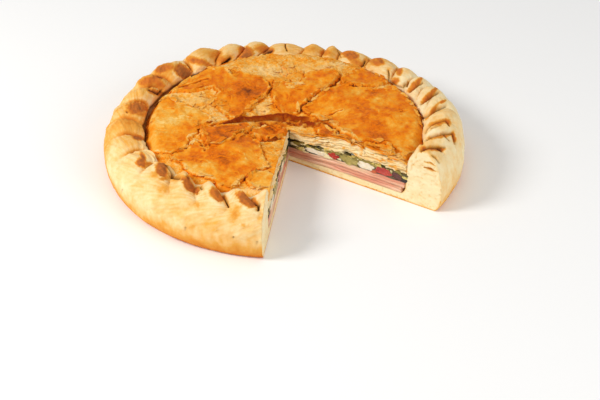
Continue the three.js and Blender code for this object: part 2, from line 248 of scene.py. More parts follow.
class Rows:
    """A surface built from rows of points, with marks that its material reads."""

    def __init__(self):
        self.points, self.faces, self.marks, self.count = [], [], {}, 0

    def add(self, x, y, z, **marks):
        """Adds points, in millimetres, and gives their numbers back in the same shape."""
        x, y, z = np.broadcast_arrays(*(np.asarray(v, float) for v in (x, y, z)))
        points = np.stack([x.ravel(), y.ravel(), z.ravel()], 1)
        for name in set(self.marks) | set(marks):
            if name not in self.marks:
                self.marks[name] = [np.zeros(self.count)]
            value = np.broadcast_to(np.asarray(marks.get(name, 0.0), float), x.shape)
            self.marks[name].append(value.ravel())
        self.points.append(points)
        indices = np.arange(self.count, self.count + len(points))
        self.count += len(points)
        return indices.reshape(x.shape)

    def join(self, below, above):
        """Joins two rows: by quads, or by triangles where one has more points."""
        if len(below) == len(above):
            quads = np.stack([below[:-1], below[1:], above[1:], above[:-1]], 1)
            self.faces.extend(quads.tolist())
            return
        i = j = 0
        while i < len(below) - 1 or j < len(above) - 1:
            next_below = (i + 1) / (len(below) - 1) if i < len(below) - 1 else math.inf
            next_above = (j + 1) / (len(above) - 1) if j < len(above) - 1 else math.inf
            if next_below <= next_above:
                self.faces.append([int(below[i]), int(below[i + 1]), int(above[j])])
                i += 1
            else:
                self.faces.append([int(below[i]), int(above[j + 1]), int(above[j])])
                j += 1

    def grid(self, indices, flip=False):
        """Joins each row to the next; flip turns the faces over."""
        for below, above in zip(indices, indices[1:]):
            if flip:
                self.join(below[::-1], above[::-1])
            else:
                self.join(below, above)

    def piece(self, name, material):
        """Makes the object, in metres. Corners that fell together are dropped."""
        points = np.concatenate(self.points) * MM
        mesh = bpy.data.meshes.new(name)
        faces = [list(dict.fromkeys(face)) for face in self.faces]
        faces = [face for face in faces if len(face) > 2]
        mesh.from_pydata(points.tolist(), [], faces)
        for key, values in self.marks.items():
            layer = mesh.attributes.new(key, "FLOAT", "POINT")
            layer.data.foreach_set("value", np.concatenate(values).astype(np.float32))
        mesh.polygons.foreach_set("use_smooth", [True] * len(mesh.polygons))
        mesh.materials.append(material)
        mesh.validate()
        made = bpy.data.objects.new(name, mesh)
        bpy.context.scene.collection.objects.link(made)
        return made


def finish_piece(made, slot, *nodes):
    """Tells the frame which body a piece goes with, and hides the solids that it stands for. slot is not
    used.
    """
    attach(made, BODY)
    if nodes:
        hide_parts(*nodes)


# ---- Materials ----

def feed(tree, node, key, value):
    """Gives a node's input a plain value, or a link from another node's output."""
    if isinstance(value, bpy.types.NodeSocket):
        tree.links.new(value, node.inputs[key])
    else:
        node.inputs[key].default_value = value


def add_node(tree, kind, values=None, **settings):
    """A new node with its settings, and the values of its inputs."""
    made = tree.nodes.new(kind)
    for key, value in settings.items():
        setattr(made, key, value)
    for key, value in (values or {}).items():
        feed(tree, made, key, value)
    return made


def linear(colour):
    """Scene-linear value of an sRGB colour given as 0 to 1."""
    c = np.asarray(colour[:3], float)
    return (*np.where(c <= 0.04045, c / 12.92, ((c + 0.055) / 1.055) ** 2.4), 1.0)


def maths(tree, operation, a, b=0.0, clamp=False):
    """The result of a sum, product or the like of one or two values."""
    return add_node(tree, "ShaderNodeMath", {0: a, 1: b}, operation=operation, use_clamp=clamp).outputs[0]


def noise_node(tree, vector, scale, detail=4.0, roughness=0.55):
    """Uneven values around 0.5; scale is how many waves fit in a metre."""
    values = {"Vector": vector, "Scale": scale, "Detail": detail, "Roughness": roughness}
    return add_node(tree, "ShaderNodeTexNoise", values).outputs["Fac"]


def mix_colour(tree, share, a, b, kind="MIX"):
    """Colour a changed towards b; the mix node's colours are its sockets 6, 7 and out 2."""
    made = add_node(tree, "ShaderNodeMix", {0: share, 6: a, 7: b}, data_type="RGBA", blend_type=kind)
    return made.outputs[2]


def map_range(tree, value, low, high, top=1.0):
    """A value from between low and high, brought to between 0 and top."""
    values = {"Value": value, "From Min": low, "From Max": high, "To Max": top}
    return add_node(tree, "ShaderNodeMapRange", values).outputs["Result"]


def colour_ramp(tree, value, stops, interpolation="LINEAR"):
    """The colour that a value has between stops of position and colour."""
    ramp = add_node(tree, "ShaderNodeValToRGB", {"Fac": value})
    ramp.color_ramp.interpolation = interpolation
    points = ramp.color_ramp.elements
    while len(points) < len(stops):
        points.new(0.5)
    for point, (position, colour) in zip(points, stops):
        point.position = position
        point.color = linear(colour)
    return ramp.outputs["Color"]


def mark(tree, name):
    """One of the marks that the mesh carries at its points."""
    return add_node(tree, "ShaderNodeAttribute", attribute_name=name).outputs["Fac"]


def new_group(name, inputs, outputs):
    """A shader node group with named sockets: kind "Float", "Color" or "Vector"."""
    tree = bpy.data.node_groups.new(name, "ShaderNodeTree")
    for socket, kind, value in inputs:
        made = tree.interface.new_socket(socket, in_out="INPUT", socket_type=f"NodeSocket{kind}")
        if value is not None:
            made.default_value = value
    for socket, kind in outputs:
        tree.interface.new_socket(socket, in_out="OUTPUT", socket_type=f"NodeSocket{kind}")
    return tree, tree.nodes.new("NodeGroupInput"), tree.nodes.new("NodeGroupOutput")


def browning_group():
    """Colour of baked dough: Tone 0 is raw cream, 1 is nearly burnt, with uneven patches."""
    name = "Oven browning"
    if name in bpy.data.node_groups:
        return bpy.data.node_groups[name]
    tree, inp, out = new_group(
        name,
        [("Vector", "Vector", None), ("Tone", "Float", 0.5), ("Patchiness", "Float", 0.1)],
        [("Color", "Color")],
    )
    broad = noise_node(tree, inp.outputs["Vector"], 55.0, 3.0)
    fine = noise_node(tree, inp.outputs["Vector"], 420.0, 5.0, 0.65)
    both = maths(tree, "ADD", maths(tree, "SUBTRACT", broad, 0.5), maths(tree, "SUBTRACT", fine, 0.5))
    patches = maths(tree, "MULTIPLY", both, inp.outputs["Patchiness"])
    tone = maths(tree, "ADD", inp.outputs["Tone"], patches, clamp=True)
    colour = colour_ramp(tree, tone, bpy.context.scene.tart.browning_stops())
    tree.links.new(colour, out.inputs["Color"])
    return tree


def grain_group():
    """Height of a fine, broken surface, such as pastry crumb or the skin of dough."""
    name = "Pastry grain"
    if name in bpy.data.node_groups:
        return bpy.data.node_groups[name]
    tree, inp, out = new_group(
        name,
        [("Vector", "Vector", None), ("Grain", "Float", 900.0), ("Pores", "Float", 0.3)],
        [("Height", "Float")],
    )
    vector = inp.outputs["Vector"]
    fine = noise_node(tree, vector, inp.outputs["Grain"], 6.0, 0.7)
    cells = add_node(
        tree,
        "ShaderNodeTexVoronoi",
        {"Vector": vector, "Scale": maths(tree, "MULTIPLY", inp.outputs["Grain"], 0.5)},
    ).outputs["Distance"]
    pores = maths(tree, "MULTIPLY", maths(tree, "MINIMUM", cells, 0.35), inp.outputs["Pores"])
    tree.links.new(maths(tree, "ADD", fine, pores), out.inputs["Height"])
    return tree


def flakes_group():
    """Mask of thin, broken lines, such as the edges of flakes in baked pastry."""
    name = "Fine flakes"
    if name in bpy.data.node_groups:
        return bpy.data.node_groups[name]
    tree, inp, out = new_group(
        name,
        [("Vector", "Vector", None), ("Size", "Float", 160.0), ("Fineness", "Float", 22.0)],
        [("Mask", "Float")],
    )
    vector, size = inp.outputs["Vector"], inp.outputs["Size"]
    values = {"Vector": vector, "Scale": size, "Detail": 5.0, "Distortion": 1.6}
    field = add_node(tree, "ShaderNodeTexNoise", values).outputs["Fac"]
    away = maths(tree, "ABSOLUTE", maths(tree, "SUBTRACT", field, 0.5))
    lines = maths(tree, "SUBTRACT", 1.0, maths(tree, "MULTIPLY", away, inp.outputs["Fineness"]), clamp=True)
    broad = maths(tree, "MULTIPLY", size, 0.45)
    where = maths(tree, "SUBTRACT", noise_node(tree, vector, broad, 2.0), 0.42)
    there = maths(tree, "MULTIPLY", where, 6.0, clamp=True)
    tree.links.new(maths(tree, "MULTIPLY", lines, there), out.inputs["Mask"])
    return tree


def use_group(tree, group, **values):
    """A node group's output, with this material's own values."""
    return add_node(tree, "ShaderNodeGroup", values, node_tree=group).outputs[0]


def new_material(name):
    """A material with its Principled shader and object coordinates."""
    material = bpy.data.materials.new(name)
    material.use_nodes = True
    tree = material.node_tree
    coordinates = tree.nodes.new("ShaderNodeTexCoord").outputs["Object"]
    return material, tree, tree.nodes["Principled BSDF"], coordinates


def bump(tree, shader, height, distance, strength):
    """Fine relief of the shader's surface; distance is the relief's depth in metres."""
    values = {"Height": height, "Distance": distance, "Strength": strength}
    made = add_node(tree, "ShaderNodeBump", values)
    tree.links.new(made.outputs["Normal"], shader.inputs["Normal"])


def soften(shader, weight, scale, radius):
    """Lets light sink into the surface and come out again, as in dough and ham."""
    shader.inputs["Subsurface Weight"].default_value = weight
    shader.inputs["Subsurface Scale"].default_value = scale
    shader.inputs["Subsurface Radius"].default_value = radius


def wall_pastry():
    """Matte shortcrust: cream wall, browned ridges, pale crumb where it is cut, with painted shade in its
    cracks, slits, pits and the gap by the lid.
    """
    material, tree, shader, where = new_material("shortcrust")
    tone = use_group(tree, browning_group(), Vector=where, Tone=mark(tree, "tone"), Patchiness=0.15)
    browned = map_range(tree, mark(tree, "tone"), 0.3, 0.6, 0.44)
    dull = mix_colour(tree, browned, tone, linear((0.74, 0.48, 0.25)))
    # Painted shade in the cracks, slits, pits and the gap by the lid, and dark lines in the cut crumb.
    colour = mix_colour(tree, mark(tree, "crease"), dull, linear((0.24, 0.08, 0.03)))
    tree.links.new(colour, shader.inputs["Base Color"])
    shader.inputs["Roughness"].default_value = 0.75
    shader.inputs["Specular IOR Level"].default_value = 0.12
    soften(shader, 0.06, 0.003, (1.0, 0.6, 0.3))
    height = use_group(tree, grain_group(), Vector=where, Grain=620.0, Pores=0.6)
    bump(tree, shader, height, 0.0006, 0.7)
    return material


def lid_pastry():
    """Egg-glazed flaky pastry: satin where the glaze is whole, dry and pale where torn."""
    material, tree, shader, where = new_material("glazed_pastry")
    flakes = use_group(tree, flakes_group(), Vector=where, Size=170.0, Fineness=24.0)
    small = use_group(tree, flakes_group(), Vector=where, Size=420.0, Fineness=16.0)
    lines = maths(tree, "ADD", maths(tree, "MULTIPLY", flakes, 0.24), maths(tree, "MULTIPLY", small, 0.14))
    gloss = mark(tree, "gloss")
    dry = maths(tree, "SUBTRACT", 1.0, maths(tree, "MULTIPLY", gloss, 0.55))
    lines = maths(tree, "MULTIPLY", lines, dry)
    browned = maths(tree, "MAXIMUM", maths(tree, "SUBTRACT", mark(tree, "tone"), lines), 0.30)
    tone = use_group(tree, browning_group(), Vector=where, Tone=browned, Patchiness=0.3)
    rust = mark(tree, "rust")
    glaze = maths(tree, "MULTIPLY", gloss, 0.75)
    glazed = mix_colour(tree, glaze, tone, linear((1.0, 0.985, 0.80)), "MULTIPLY")
    colour = mix_colour(tree, rust, glazed, linear((0.57, 0.175, 0.04)))
    tree.links.new(colour, shader.inputs["Base Color"])
    uneven = noise_node(tree, where, 260.0, 3.0)
    rough = maths(tree, "SUBTRACT", 0.75, maths(tree, "MULTIPLY", gloss, 0.28))
    rough = maths(tree, "ADD", rough, maths(tree, "MULTIPLY", maths(tree, "SUBTRACT", uneven, 0.5), 0.25))
    tree.links.new(rough, shader.inputs["Roughness"])
    shader.inputs["Specular IOR Level"].default_value = 0.07
    tree.links.new(maths(tree, "MULTIPLY", gloss, 0.03), shader.inputs["Coat Weight"])
    shader.inputs["Coat Roughness"].default_value = 0.25
    grain = use_group(tree, grain_group(), Vector=where, Grain=620.0, Pores=0.6)
    height = maths(tree, "ADD", grain, maths(tree, "MULTIPLY", lines, 1.4))
    bump(tree, shader, height, 0.0005, 0.7)
    return material


def leaf_pastry():
    """The cut leaves of the lid: pale and buttery, toasted at their tips."""
    material, tree, shader, where = new_material("pastry_leaves")
    tone = use_group(tree, browning_group(), Vector=where, Tone=mark(tree, "tone"), Patchiness=0.14)
    tree.links.new(tone, shader.inputs["Base Color"])
    shader.inputs["Roughness"].default_value = 0.6
    shader.inputs["Specular IOR Level"].default_value = 0.2
    soften(shader, 0.1, 0.002, (1.0, 0.7, 0.4))
    height = use_group(tree, grain_group(), Vector=where, Grain=1100.0, Pores=0.3)
    bump(tree, shader, height, 0.0002, 0.5)
    return material


def moist(name, colour, second, roughness, grain, wetness=0.0):
    """A moist filling colour that varies between two tones, over the "tone" mark."""
    material, tree, shader, where = new_material(name)
    patches = noise_node(tree, where, grain, 5.0, 0.6)
    share = map_range(tree, maths(tree, "ADD", patches, mark(tree, "tone")), 0.35, 0.75)
    tree.links.new(mix_colour(tree, share, linear(colour), linear(second)), shader.inputs["Base Color"])
    shader.inputs["Roughness"].default_value = roughness
    shader.inputs["Coat Weight"].default_value = wetness
    shader.inputs["Coat Roughness"].default_value = 0.15
    soften(shader, 0.12, 0.002, (1.0, 0.5, 0.3))
    bump(tree, shader, patches, 0.0004, 0.5)
    return material


def ham_material():
    """Cooked ham: pink, with pale streaks along the slice and a faint dark line, and painted shade at the
    edges of each slice and near the apex.
    """
    material, tree, shader, where = new_material("ham")
    stretch = add_node(tree, "ShaderNodeMapping", {"Vector": where, "Scale": (18.0, 18.0, 170.0)})
    streaks = noise_node(tree, stretch.outputs["Vector"], 1.0, 1.5, 0.5)
    colours = bpy.context.scene.tart
    share = map_range(tree, streaks, 0.38, 0.66)
    colour = mix_colour(tree, share, linear(colours.ham_colour), linear(colours.ham_pale))
    # Dark where the mark is high: the ham's dark line, and painted shade.
    colour = mix_colour(tree, mark(tree, "crease"), colour, linear((0.55, 0.2, 0.16)))
    tree.links.new(colour, shader.inputs["Base Color"])
    shader.inputs["Roughness"].default_value = 0.38
    soften(shader, 0.2, 0.003, (1.0, 0.35, 0.25))
    bump(tree, shader, streaks, 0.0003, 0.5)
    return material


def vegetable_material():
    """Chopped vegetables: each lump's "kind" mark picks its colour."""
    material, tree, shader, where = new_material("chopped_vegetables")
    kinds = [
        (0.0, (0.60, 0.53, 0.25)), (0.16, (0.88, 0.79, 0.48)), (0.34, (0.33, 0.30, 0.13)),
        (0.5, (0.98, 0.93, 0.79)), (0.76, (0.80, 0.38, 0.22)), (0.85, (0.13, 0.09, 0.05)),
    ]
    plain = colour_ramp(tree, mark(tree, "kind"), kinds, "CONSTANT")
    spots = noise_node(tree, where, 500.0, 4.0, 0.6)
    colour = mix_colour(tree, spots, plain, linear((0.7, 0.66, 0.42)), "SOFT_LIGHT")
    # Painted shade where the mark is high, over the layer behind the lumps.
    colour = mix_colour(tree, mark(tree, "crease"), colour, linear((0.09, 0.06, 0.03)))
    tree.links.new(colour, shader.inputs["Base Color"])
    shader.inputs["Roughness"].default_value = 0.4
    shader.inputs["Coat Weight"].default_value = 0.3
    shader.inputs["Coat Roughness"].default_value = 0.2
    bump(tree, shader, spots, 0.0004, 0.5)
    return material


# ---- Settings that a user would change ----

def colour_property(name, description, default):
    """A colour that the user can change, as sRGB from 0 to 1."""
    return bpy.props.FloatVectorProperty(
        name=name, description=description, default=default, subtype="COLOR", size=3, min=0, max=1
    )


class TartSettings(bpy.types.PropertyGroup):
    """Sizes and colours of the tart."""

    cream: colour_property("Cream", "Unbrowned dough and crumb", (1.0, 0.95, 0.79))
    pale_gold: colour_property("Pale gold", "Lightly baked pastry", (0.98, 0.85, 0.615))
    gold: colour_property("Gold", "Baked flaky pastry", (0.955, 0.70, 0.31))
    amber: colour_property("Amber", "Egg glaze, lightly browned", (0.95, 0.585, 0.115))
    orange: colour_property("Orange", "Egg glaze, well browned", (0.90, 0.45, 0.03))
    brown: colour_property("Brown", "Browned ridges", (0.64, 0.31, 0.07))
    dark: colour_property("Dark", "Nearly burnt crust", (0.33, 0.13, 0.04))
    ham_colour: colour_property("Ham", "Cooked ham", (0.89, 0.58, 0.46))
    ham_pale: colour_property("Pale ham", "Fat and streaks in the ham", (0.97, 0.84, 0.69))
    cell: bpy.props.FloatProperty(
        name="Lid cell", description="Size of the lid mesh's cells", default=0.6 * MM, unit="LENGTH"
    )
    rim_columns: bpy.props.IntProperty(
        name="Rim columns", description="Mesh columns round the rim", default=1020, min=100
    )
    leaf_count: bpy.props.IntProperty(
        name="Leaves", description="Leaves of pastry that show at a cut", default=7, min=3
    )

    def browning_stops(self):
        """The colours of dough from raw to nearly burnt, each with its tone."""
        return [
            (0.0, self.cream), (0.2, self.pale_gold), (0.38, self.gold), (0.54, self.amber),
            (0.7, self.orange), (0.85, self.brown), (1.0, self.dark),
        ]


# ---- The crust: floor, wall and roped rim ----

# Directions of the creases between the crimps, where they cross the crest.
CREASES = [
    -50, -39, -28, -18, -9.5, 3, 13, 23, 33.5, 44, 57.8, 70, 77, 84.5, 98.5, 107, 117, 131, 147.5,
    157, 168, 180, 190, 202, 214, 227, 238, 249.5, 260, 271, 282,
]
# How far the crimps lean round the rim: direction and degrees.
LEANS = [
    (-40, 13), (-20, 12), (-10, 10), (20, 6), (45, 4), (60, 2), (75, 0), (90, -4), (100, -8), (118, -9),
    (131, -4), (148, 3), (157, 7), (170, 2), (187, -3),
    (200, 2), (212, 6), (225, 9), (240, 10), (270, 8),
]
# How far the rim leans inwards round the tart: direction and millimetres at the crest.
TUCKS = [
    (-34, 0.5), (-8, 1.0), (5, 4.0), (12, 5.5), (25, 5.0), (38, 3.2), (52, 1.0), (75, 0.0), (130, 0.0),
    (142, 1.5), (152, 3.5), (161, 5.0), (170, 4.0), (182, 1.0), (195, 0.0), (263, 0.0),
]
# How the crimps' lean changes from the groove (-1) over the crest (0) to the widest place (1).
LEAN_SHAPE = [(-1, 0.0), (-0.45, 0.35), (0, 0.8), (0.3, 1.0), (0.5, 0.9), (1, 0.55)]

# How brown the plain dough is round the tart, and how much browner its crest is: partly browning, partly
# painted light and shade round the tart.
WALL_TONES = [
    (-34, 0.15), (-10, 0.13), (20, 0.15), (50, 0.21), (100, 0.23), (150, 0.32), (185, 0.30),
    (205, 0.19), (220, 0.19), (240, 0.26), (263, 0.30),
]
CREST_TONES = [
    (-34, 0.13), (-14, 0.08), (60, 0.07), (100, 0.05), (130, 0.07), (190, 0.13), (215, 0.06),
    (263, 0.02),
]

# Browned places on the rim, by the photograph's pixels: middle, half sizes, turn, tone, softness. A few of
# them are painted shade, as marked below.
BROWNED = [
    (138, 107.5, 10.5, 6.2, -3, 0.80, 0.2), (141, 113.5, 6, 3.2, 10, 0.60, 0.4),
    (127, 121, 9, 5, -5, 0.52, 0.6), (150, 80.5, 11.5, 4.3, -8, 0.76, 0.3),
    (160, 84, 5, 3.5, 20, 0.72, 0.3), (155, 92, 8, 2.6, 15, 0.70, 0.4),
    (161.5, 69, 6.5, 4.2, -20, 0.80, 0.25), (169, 67, 6, 4, 0, 0.72, 0.5),
    (182.5, 70, 8.5, 6.5, 35, 0.87, 0.2), (187, 74.5, 5.5, 3.5, -30, 0.96, 0.3),
    (197, 61, 12, 3.4, 12, 0.76, 0.4), (208, 64.5, 6, 2.2, 25, 0.70, 0.4),
    (216, 54.5, 7.5, 4.6, 0, 0.54, 0.4), (220, 59, 6, 3, -20, 0.60, 0.4),
    (245.5, 51, 8.5, 4.6, 15, 0.74, 0.3), (246, 55.5, 7.5, 2.8, -10, 0.90, 0.3),
    (264, 49, 9, 4.2, 10, 0.66, 0.35), (268.5, 51.5, 4.5, 2.5, 0, 0.90, 0.3),
    (300, 48, 6, 3, 0, 0.28, 0.6), (311, 49, 7, 3.2, 0, 0.44, 0.6),
    (325, 52.5, 6.5, 3.6, 5, 0.58, 0.4), (351, 55, 8.5, 4.4, 15, 0.78, 0.3),
    (356, 62, 7, 3.5, 30, 0.62, 0.4), (375, 61, 8, 3.8, 15, 0.64, 0.4),
    (380, 60, 4.5, 1.8, 40, 0.82, 0.4), (377, 63.5, 2.6, 2.4, 0, 0.76, 0.4),
    (399, 70.5, 5.5, 3.4, 100, 0.68, 0.3), (395.8, 80.5, 3.8, 3.5, 0, 0.68, 0.4),
    (414, 85, 9, 2.8, -45, 0.60, 0.4), (419, 80.5, 5, 2, -45, 0.70, 0.3),
    (429, 95.5, 9.5, 2.6, -42, 0.64, 0.4), (433.5, 90.5, 5, 2, -42, 0.71, 0.3),
    (432, 111, 11, 1.6, -52, 0.58, 0.4), (443, 101.5, 3.6, 1.6, -20, 0.70, 0.3),
    (439, 122.5, 10, 2.4, -12, 0.57, 0.4), (447, 121.5, 4.5, 2.6, 25, 0.60, 0.3),
    (441, 136, 12, 2.2, -10, 0.62, 0.4), (453.8, 137, 6, 2.2, 80, 0.70, 0.3),
    (432, 148.5, 11.5, 2.2, 3, 0.74, 0.3), (138.5, 137.6, 5.8, 2.6, 5, 0.86, 0.3),
    (141, 162.8, 5.4, 4.6, 0, 0.86, 0.25), (143, 156.5, 4.5, 2.2, 65, 0.84, 0.4),
    (148, 163.5, 4, 1.6, 0, 0.72, 0.4), (161.8, 168.8, 8.0, 6.4, 70, 0.82, 0.12),
    (164.5, 178.5, 6, 2, -10, 0.56, 0.5), (191, 184.6, 11.2, 6.2, 52, 0.76, 0.12),
    (218, 194.6, 9.6, 5.8, 44, 0.76, 0.12), (246, 199, 12.4, 6.2, 35, 0.80, 0.12),
    # The next two are painted shade between the crimps, not browning.
    (235, 214, 9, 5, 110, 0.46, 0.7), (260.5, 217, 6, 3, 100, 0.42, 0.6),
    (164, 190, 7, 5, 0, 0.44, 0.7), (197, 205, 7, 4, 0, 0.42, 0.7), (140, 184, 8, 4, 30, 0.26, 0.7),
    # (155, 175) and (134, 122) on the next line are painted shade on the crimps, not browning.
    (155, 175, 5.5, 4, 0, 0.42, 0.5), (134, 122, 7, 5, 0, 0.50, 0.6),
    (243, 225, 10, 3, 10, 0.32, 0.7), (215, 214, 3, 8, 0, 0.28, 0.7),
]

# Slits and pits in the rim: pixels along them, half width in pixels, depth in millimetres, and darkness of
# the painted shade in them.
SLITS = [
    ([(148, 145), (152, 147.5), (156, 149)], 1.7, 2.0, 0.75),
    ([(158.5, 157), (163.5, 159)], 2.0, 3.2, 1.0),
    ([(166, 163.5), (170.4, 169.4), (173, 174)], 0.9, 2.4, 0.9),
    ([(172.5, 176), (179, 177)], 1.8, 3.0, 0.9),
    ([(197.6, 182.7), (202.7, 188.5)], 0.9, 3.0, 1.0),
    ([(187, 176), (192, 179), (197, 183)], 0.7, 1.0, 0.55),
    ([(198.5, 190), (197, 194.5)], 0.6, 0.8, 0.5), ([(223, 193.6), (224.8, 196.7)], 0.7, 1.5, 0.8),
    ([(225.5, 198), (228.5, 206.4)], 1.0, 3.0, 1.0), ([(224.2, 189.5), (225.4, 190)], 0.9, 1.5, 0.8),
    ([(256, 203.5), (259, 204), (258, 209.5)], 1.5, 3.0, 0.95),
    ([(126, 111.2), (127, 112)], 0.7, 1.0, 0.9),
    ([(149, 89), (153, 90.5), (158, 93.5), (162, 90)], 1.2, 2.5, 0.85),
    ([(154, 75), (162.4, 77.6)], 0.7, 1.2, 0.7),
    ([(223.5, 64), (227, 61), (230, 57.5)], 2.0, 3.2, 1.0),
    ([(235, 60.8), (241, 60.3), (247, 59)], 0.8, 1.5, 0.9),
    ([(264, 53.8), (268, 52.5), (272, 50.5)], 1.1, 2.2, 0.85),
    ([(285.4, 41.5), (285.4, 46.2), (287.2, 50.5)], 0.6, 2.0, 0.95),
    ([(318, 58), (320.5, 58.4)], 1.1, 2.0, 0.95),
    ([(337, 49), (339.5, 53.5), (341, 57)], 0.7, 1.2, 0.5),
    ([(360, 67.5), (363, 64.5), (365, 60)], 1.1, 2.5, 0.9),
    ([(388.3, 70), (388.6, 75), (388.2, 80)], 0.7, 1.8, 0.9),
    ([(402.8, 87.2), (405, 83.5)], 0.8, 1.5, 0.8), ([(406.8, 86.5), (408.2, 82.5)], 0.8, 1.5, 0.8),
    ([(417.3, 111.5), (421.5, 115), (423, 120.3)], 0.6, 0.8, 0.6),
    ([(419.5, 138), (422, 143)], 1.5, 1.5, 0.75),
    (
        [(424.6, 133), (427, 128.5), (430.5, 125), (437.8, 121.3), (445.9, 119.9), (449.5, 125)],
        0.9, 2.0, 0.55,
    ),
    ([(431, 128.5), (436, 126.5), (441, 125)], 0.6, 0.8, 0.4),
    ([(425.3, 139.7), (432, 136), (443.7, 133), (453.2, 133), (455.4, 143.3)], 1.0, 2.2, 0.65),
    ([(443.7, 134.5), (449.5, 140.4)], 0.7, 1.0, 0.55),
    ([(409, 91.5), (413, 88.5), (418, 84.5), (423, 82)], 1.2, 2.2, 0.5),
    ([(420, 103.5), (426, 99.5), (432, 95.5), (438, 92)], 1.3, 2.4, 0.5),
    ([(422, 118), (428, 114.5), (436, 109.5), (446, 105.5)], 1.3, 2.4, 0.5),
    ([(392, 82.5), (396, 85.5), (401, 86.5)], 1.2, 2.0, 0.5),
    ([(421, 150), (429, 147), (436.3, 147), (442.2, 150.5)], 1.2, 2.4, 0.85),
    ([(436.5, 147), (445, 147.2)], 0.8, 1.2, 0.6),
    ([(432, 155), (436, 158), (439.3, 162.4)], 0.7, 1.2, 0.6),
]
# Small bubbles that burst in the wall, by pixel and size; each is darkened with painted shade.
PINHOLES = [
    (185.1, 228.2, 0.9), (233.3, 237.6, 0.9), (257.0, 242.5, 1.0), (232.6, 241, 0.5), (122, 190, 0.5),
]


def crest_height(degrees):
    """Height of the rim, which stands higher in some places than in others."""
    tilt = 4.2 * np.cos(np.radians(degrees - 300))
    warp = 4 * np.cos(np.radians(2 * (degrees - 155)))
    return CREST_HEIGHT + tilt + warp


def crimp_at(degrees):
    """Number of the crimp at a place, and how far across it that is (0 to 1)."""
    creases = np.array(CREASES, float)
    index = np.clip(np.searchsorted(creases, degrees, side="right") - 1, 0, len(creases) - 2)
    return index, np.clip((degrees - creases[index]) / (creases[index + 1] - creases[index]), 0, 1)


def knots(value, table):
    """A value read from a table of places and values, straight between them."""
    places, values = np.array(table, float).T
    return np.interp(value, places, values)


def facing_photo(degrees, steepness):
    """1 where the rim faces the photograph's camera; steepness is its slope's angle."""
    tilt = math.radians(CAMERA_ELEVATION)
    outward = -np.sin(np.radians(degrees)) * math.cos(tilt)
    facing = outward * np.sin(steepness) + math.sin(tilt) * np.cos(steepness)
    return smooth(facing, 0.02, 0.16)


def in_oval(px, py, cx, cy, long, short, turned):
    """Where pixels lie in a turned oval, along and across it, with 1 at its edge."""
    c, s = math.cos(math.radians(turned)), math.sin(math.radians(turned))
    return ((px - cx) * c + (py - cy) * s) / long, ((py - cy) * c - (px - cx) * s) / short


def photo_marks(x, y, z, shown, tone, crease):
    """Adds the browned places, slits and pinholes where the photograph shows them; the slits and pinholes
    are darkened with painted shade. The result is how deep the surface sinks there, its new tone, and its
    new mark of painted shade and dark lines."""
    px, py = seen_at(x, y, z)
    ragged = 0.35 * fractal(px / 3.5, py / 3.5, 10) + 0.25 * fractal(px / 1.3, py / 1.3, 16)
    sink = np.zeros_like(px)
    for cx, cy, long, short, turned, brown, soft in BROWNED:
        away = np.hypot(*in_oval(px, py, cx, cy, long, short, turned))
        there = (1 - smooth(away + ragged, 0.88 - soft, 1.02 + soft)) * shown
        mottled = brown - 0.05 + 0.16 * fractal(px / 2.2, py / 2.2, 12) + 0.05 * (1 - away)
        tone = np.where(mottled > tone, blend(tone, mottled, there), tone)
        # The large ones are pinched facets, with a pale edge and a little deeper.
        if short > 5 and brown > 0.7:
            tone = tone - 0.08 * bell(away + ragged - 1.45, 0.22) * shown
            sink = np.maximum(sink, 0.9 * (1 - smooth(away + 0.6 * ragged, 0.7, 1.1)) * shown)
    # Slits: sunk, and darkened inside and just around them with painted shade.
    for path, width, depth, dark in SLITS:
        distance, along, _ = line_distance(px + ragged, py + ragged, path)
        there = bell(distance, width) * shown
        sink = np.maximum(sink, depth * there)
        crease = np.maximum(crease, dark * np.clip(1.5 * bell(distance, width * 0.85) - 0.3, 0, 1) * shown)
        tone = tone + 0.22 * dark * bell(distance, width * 1.8) * shown
    # Pinholes: sunk, with painted shade in them.
    for cx, cy, size in PINHOLES:
        hole = bell(np.hypot(px - cx, py - cy), size) * shown
        sink = np.maximum(sink, 1.2 * hole)
        crease = np.maximum(crease, 0.75 * hole)
    return sink, tone, crease


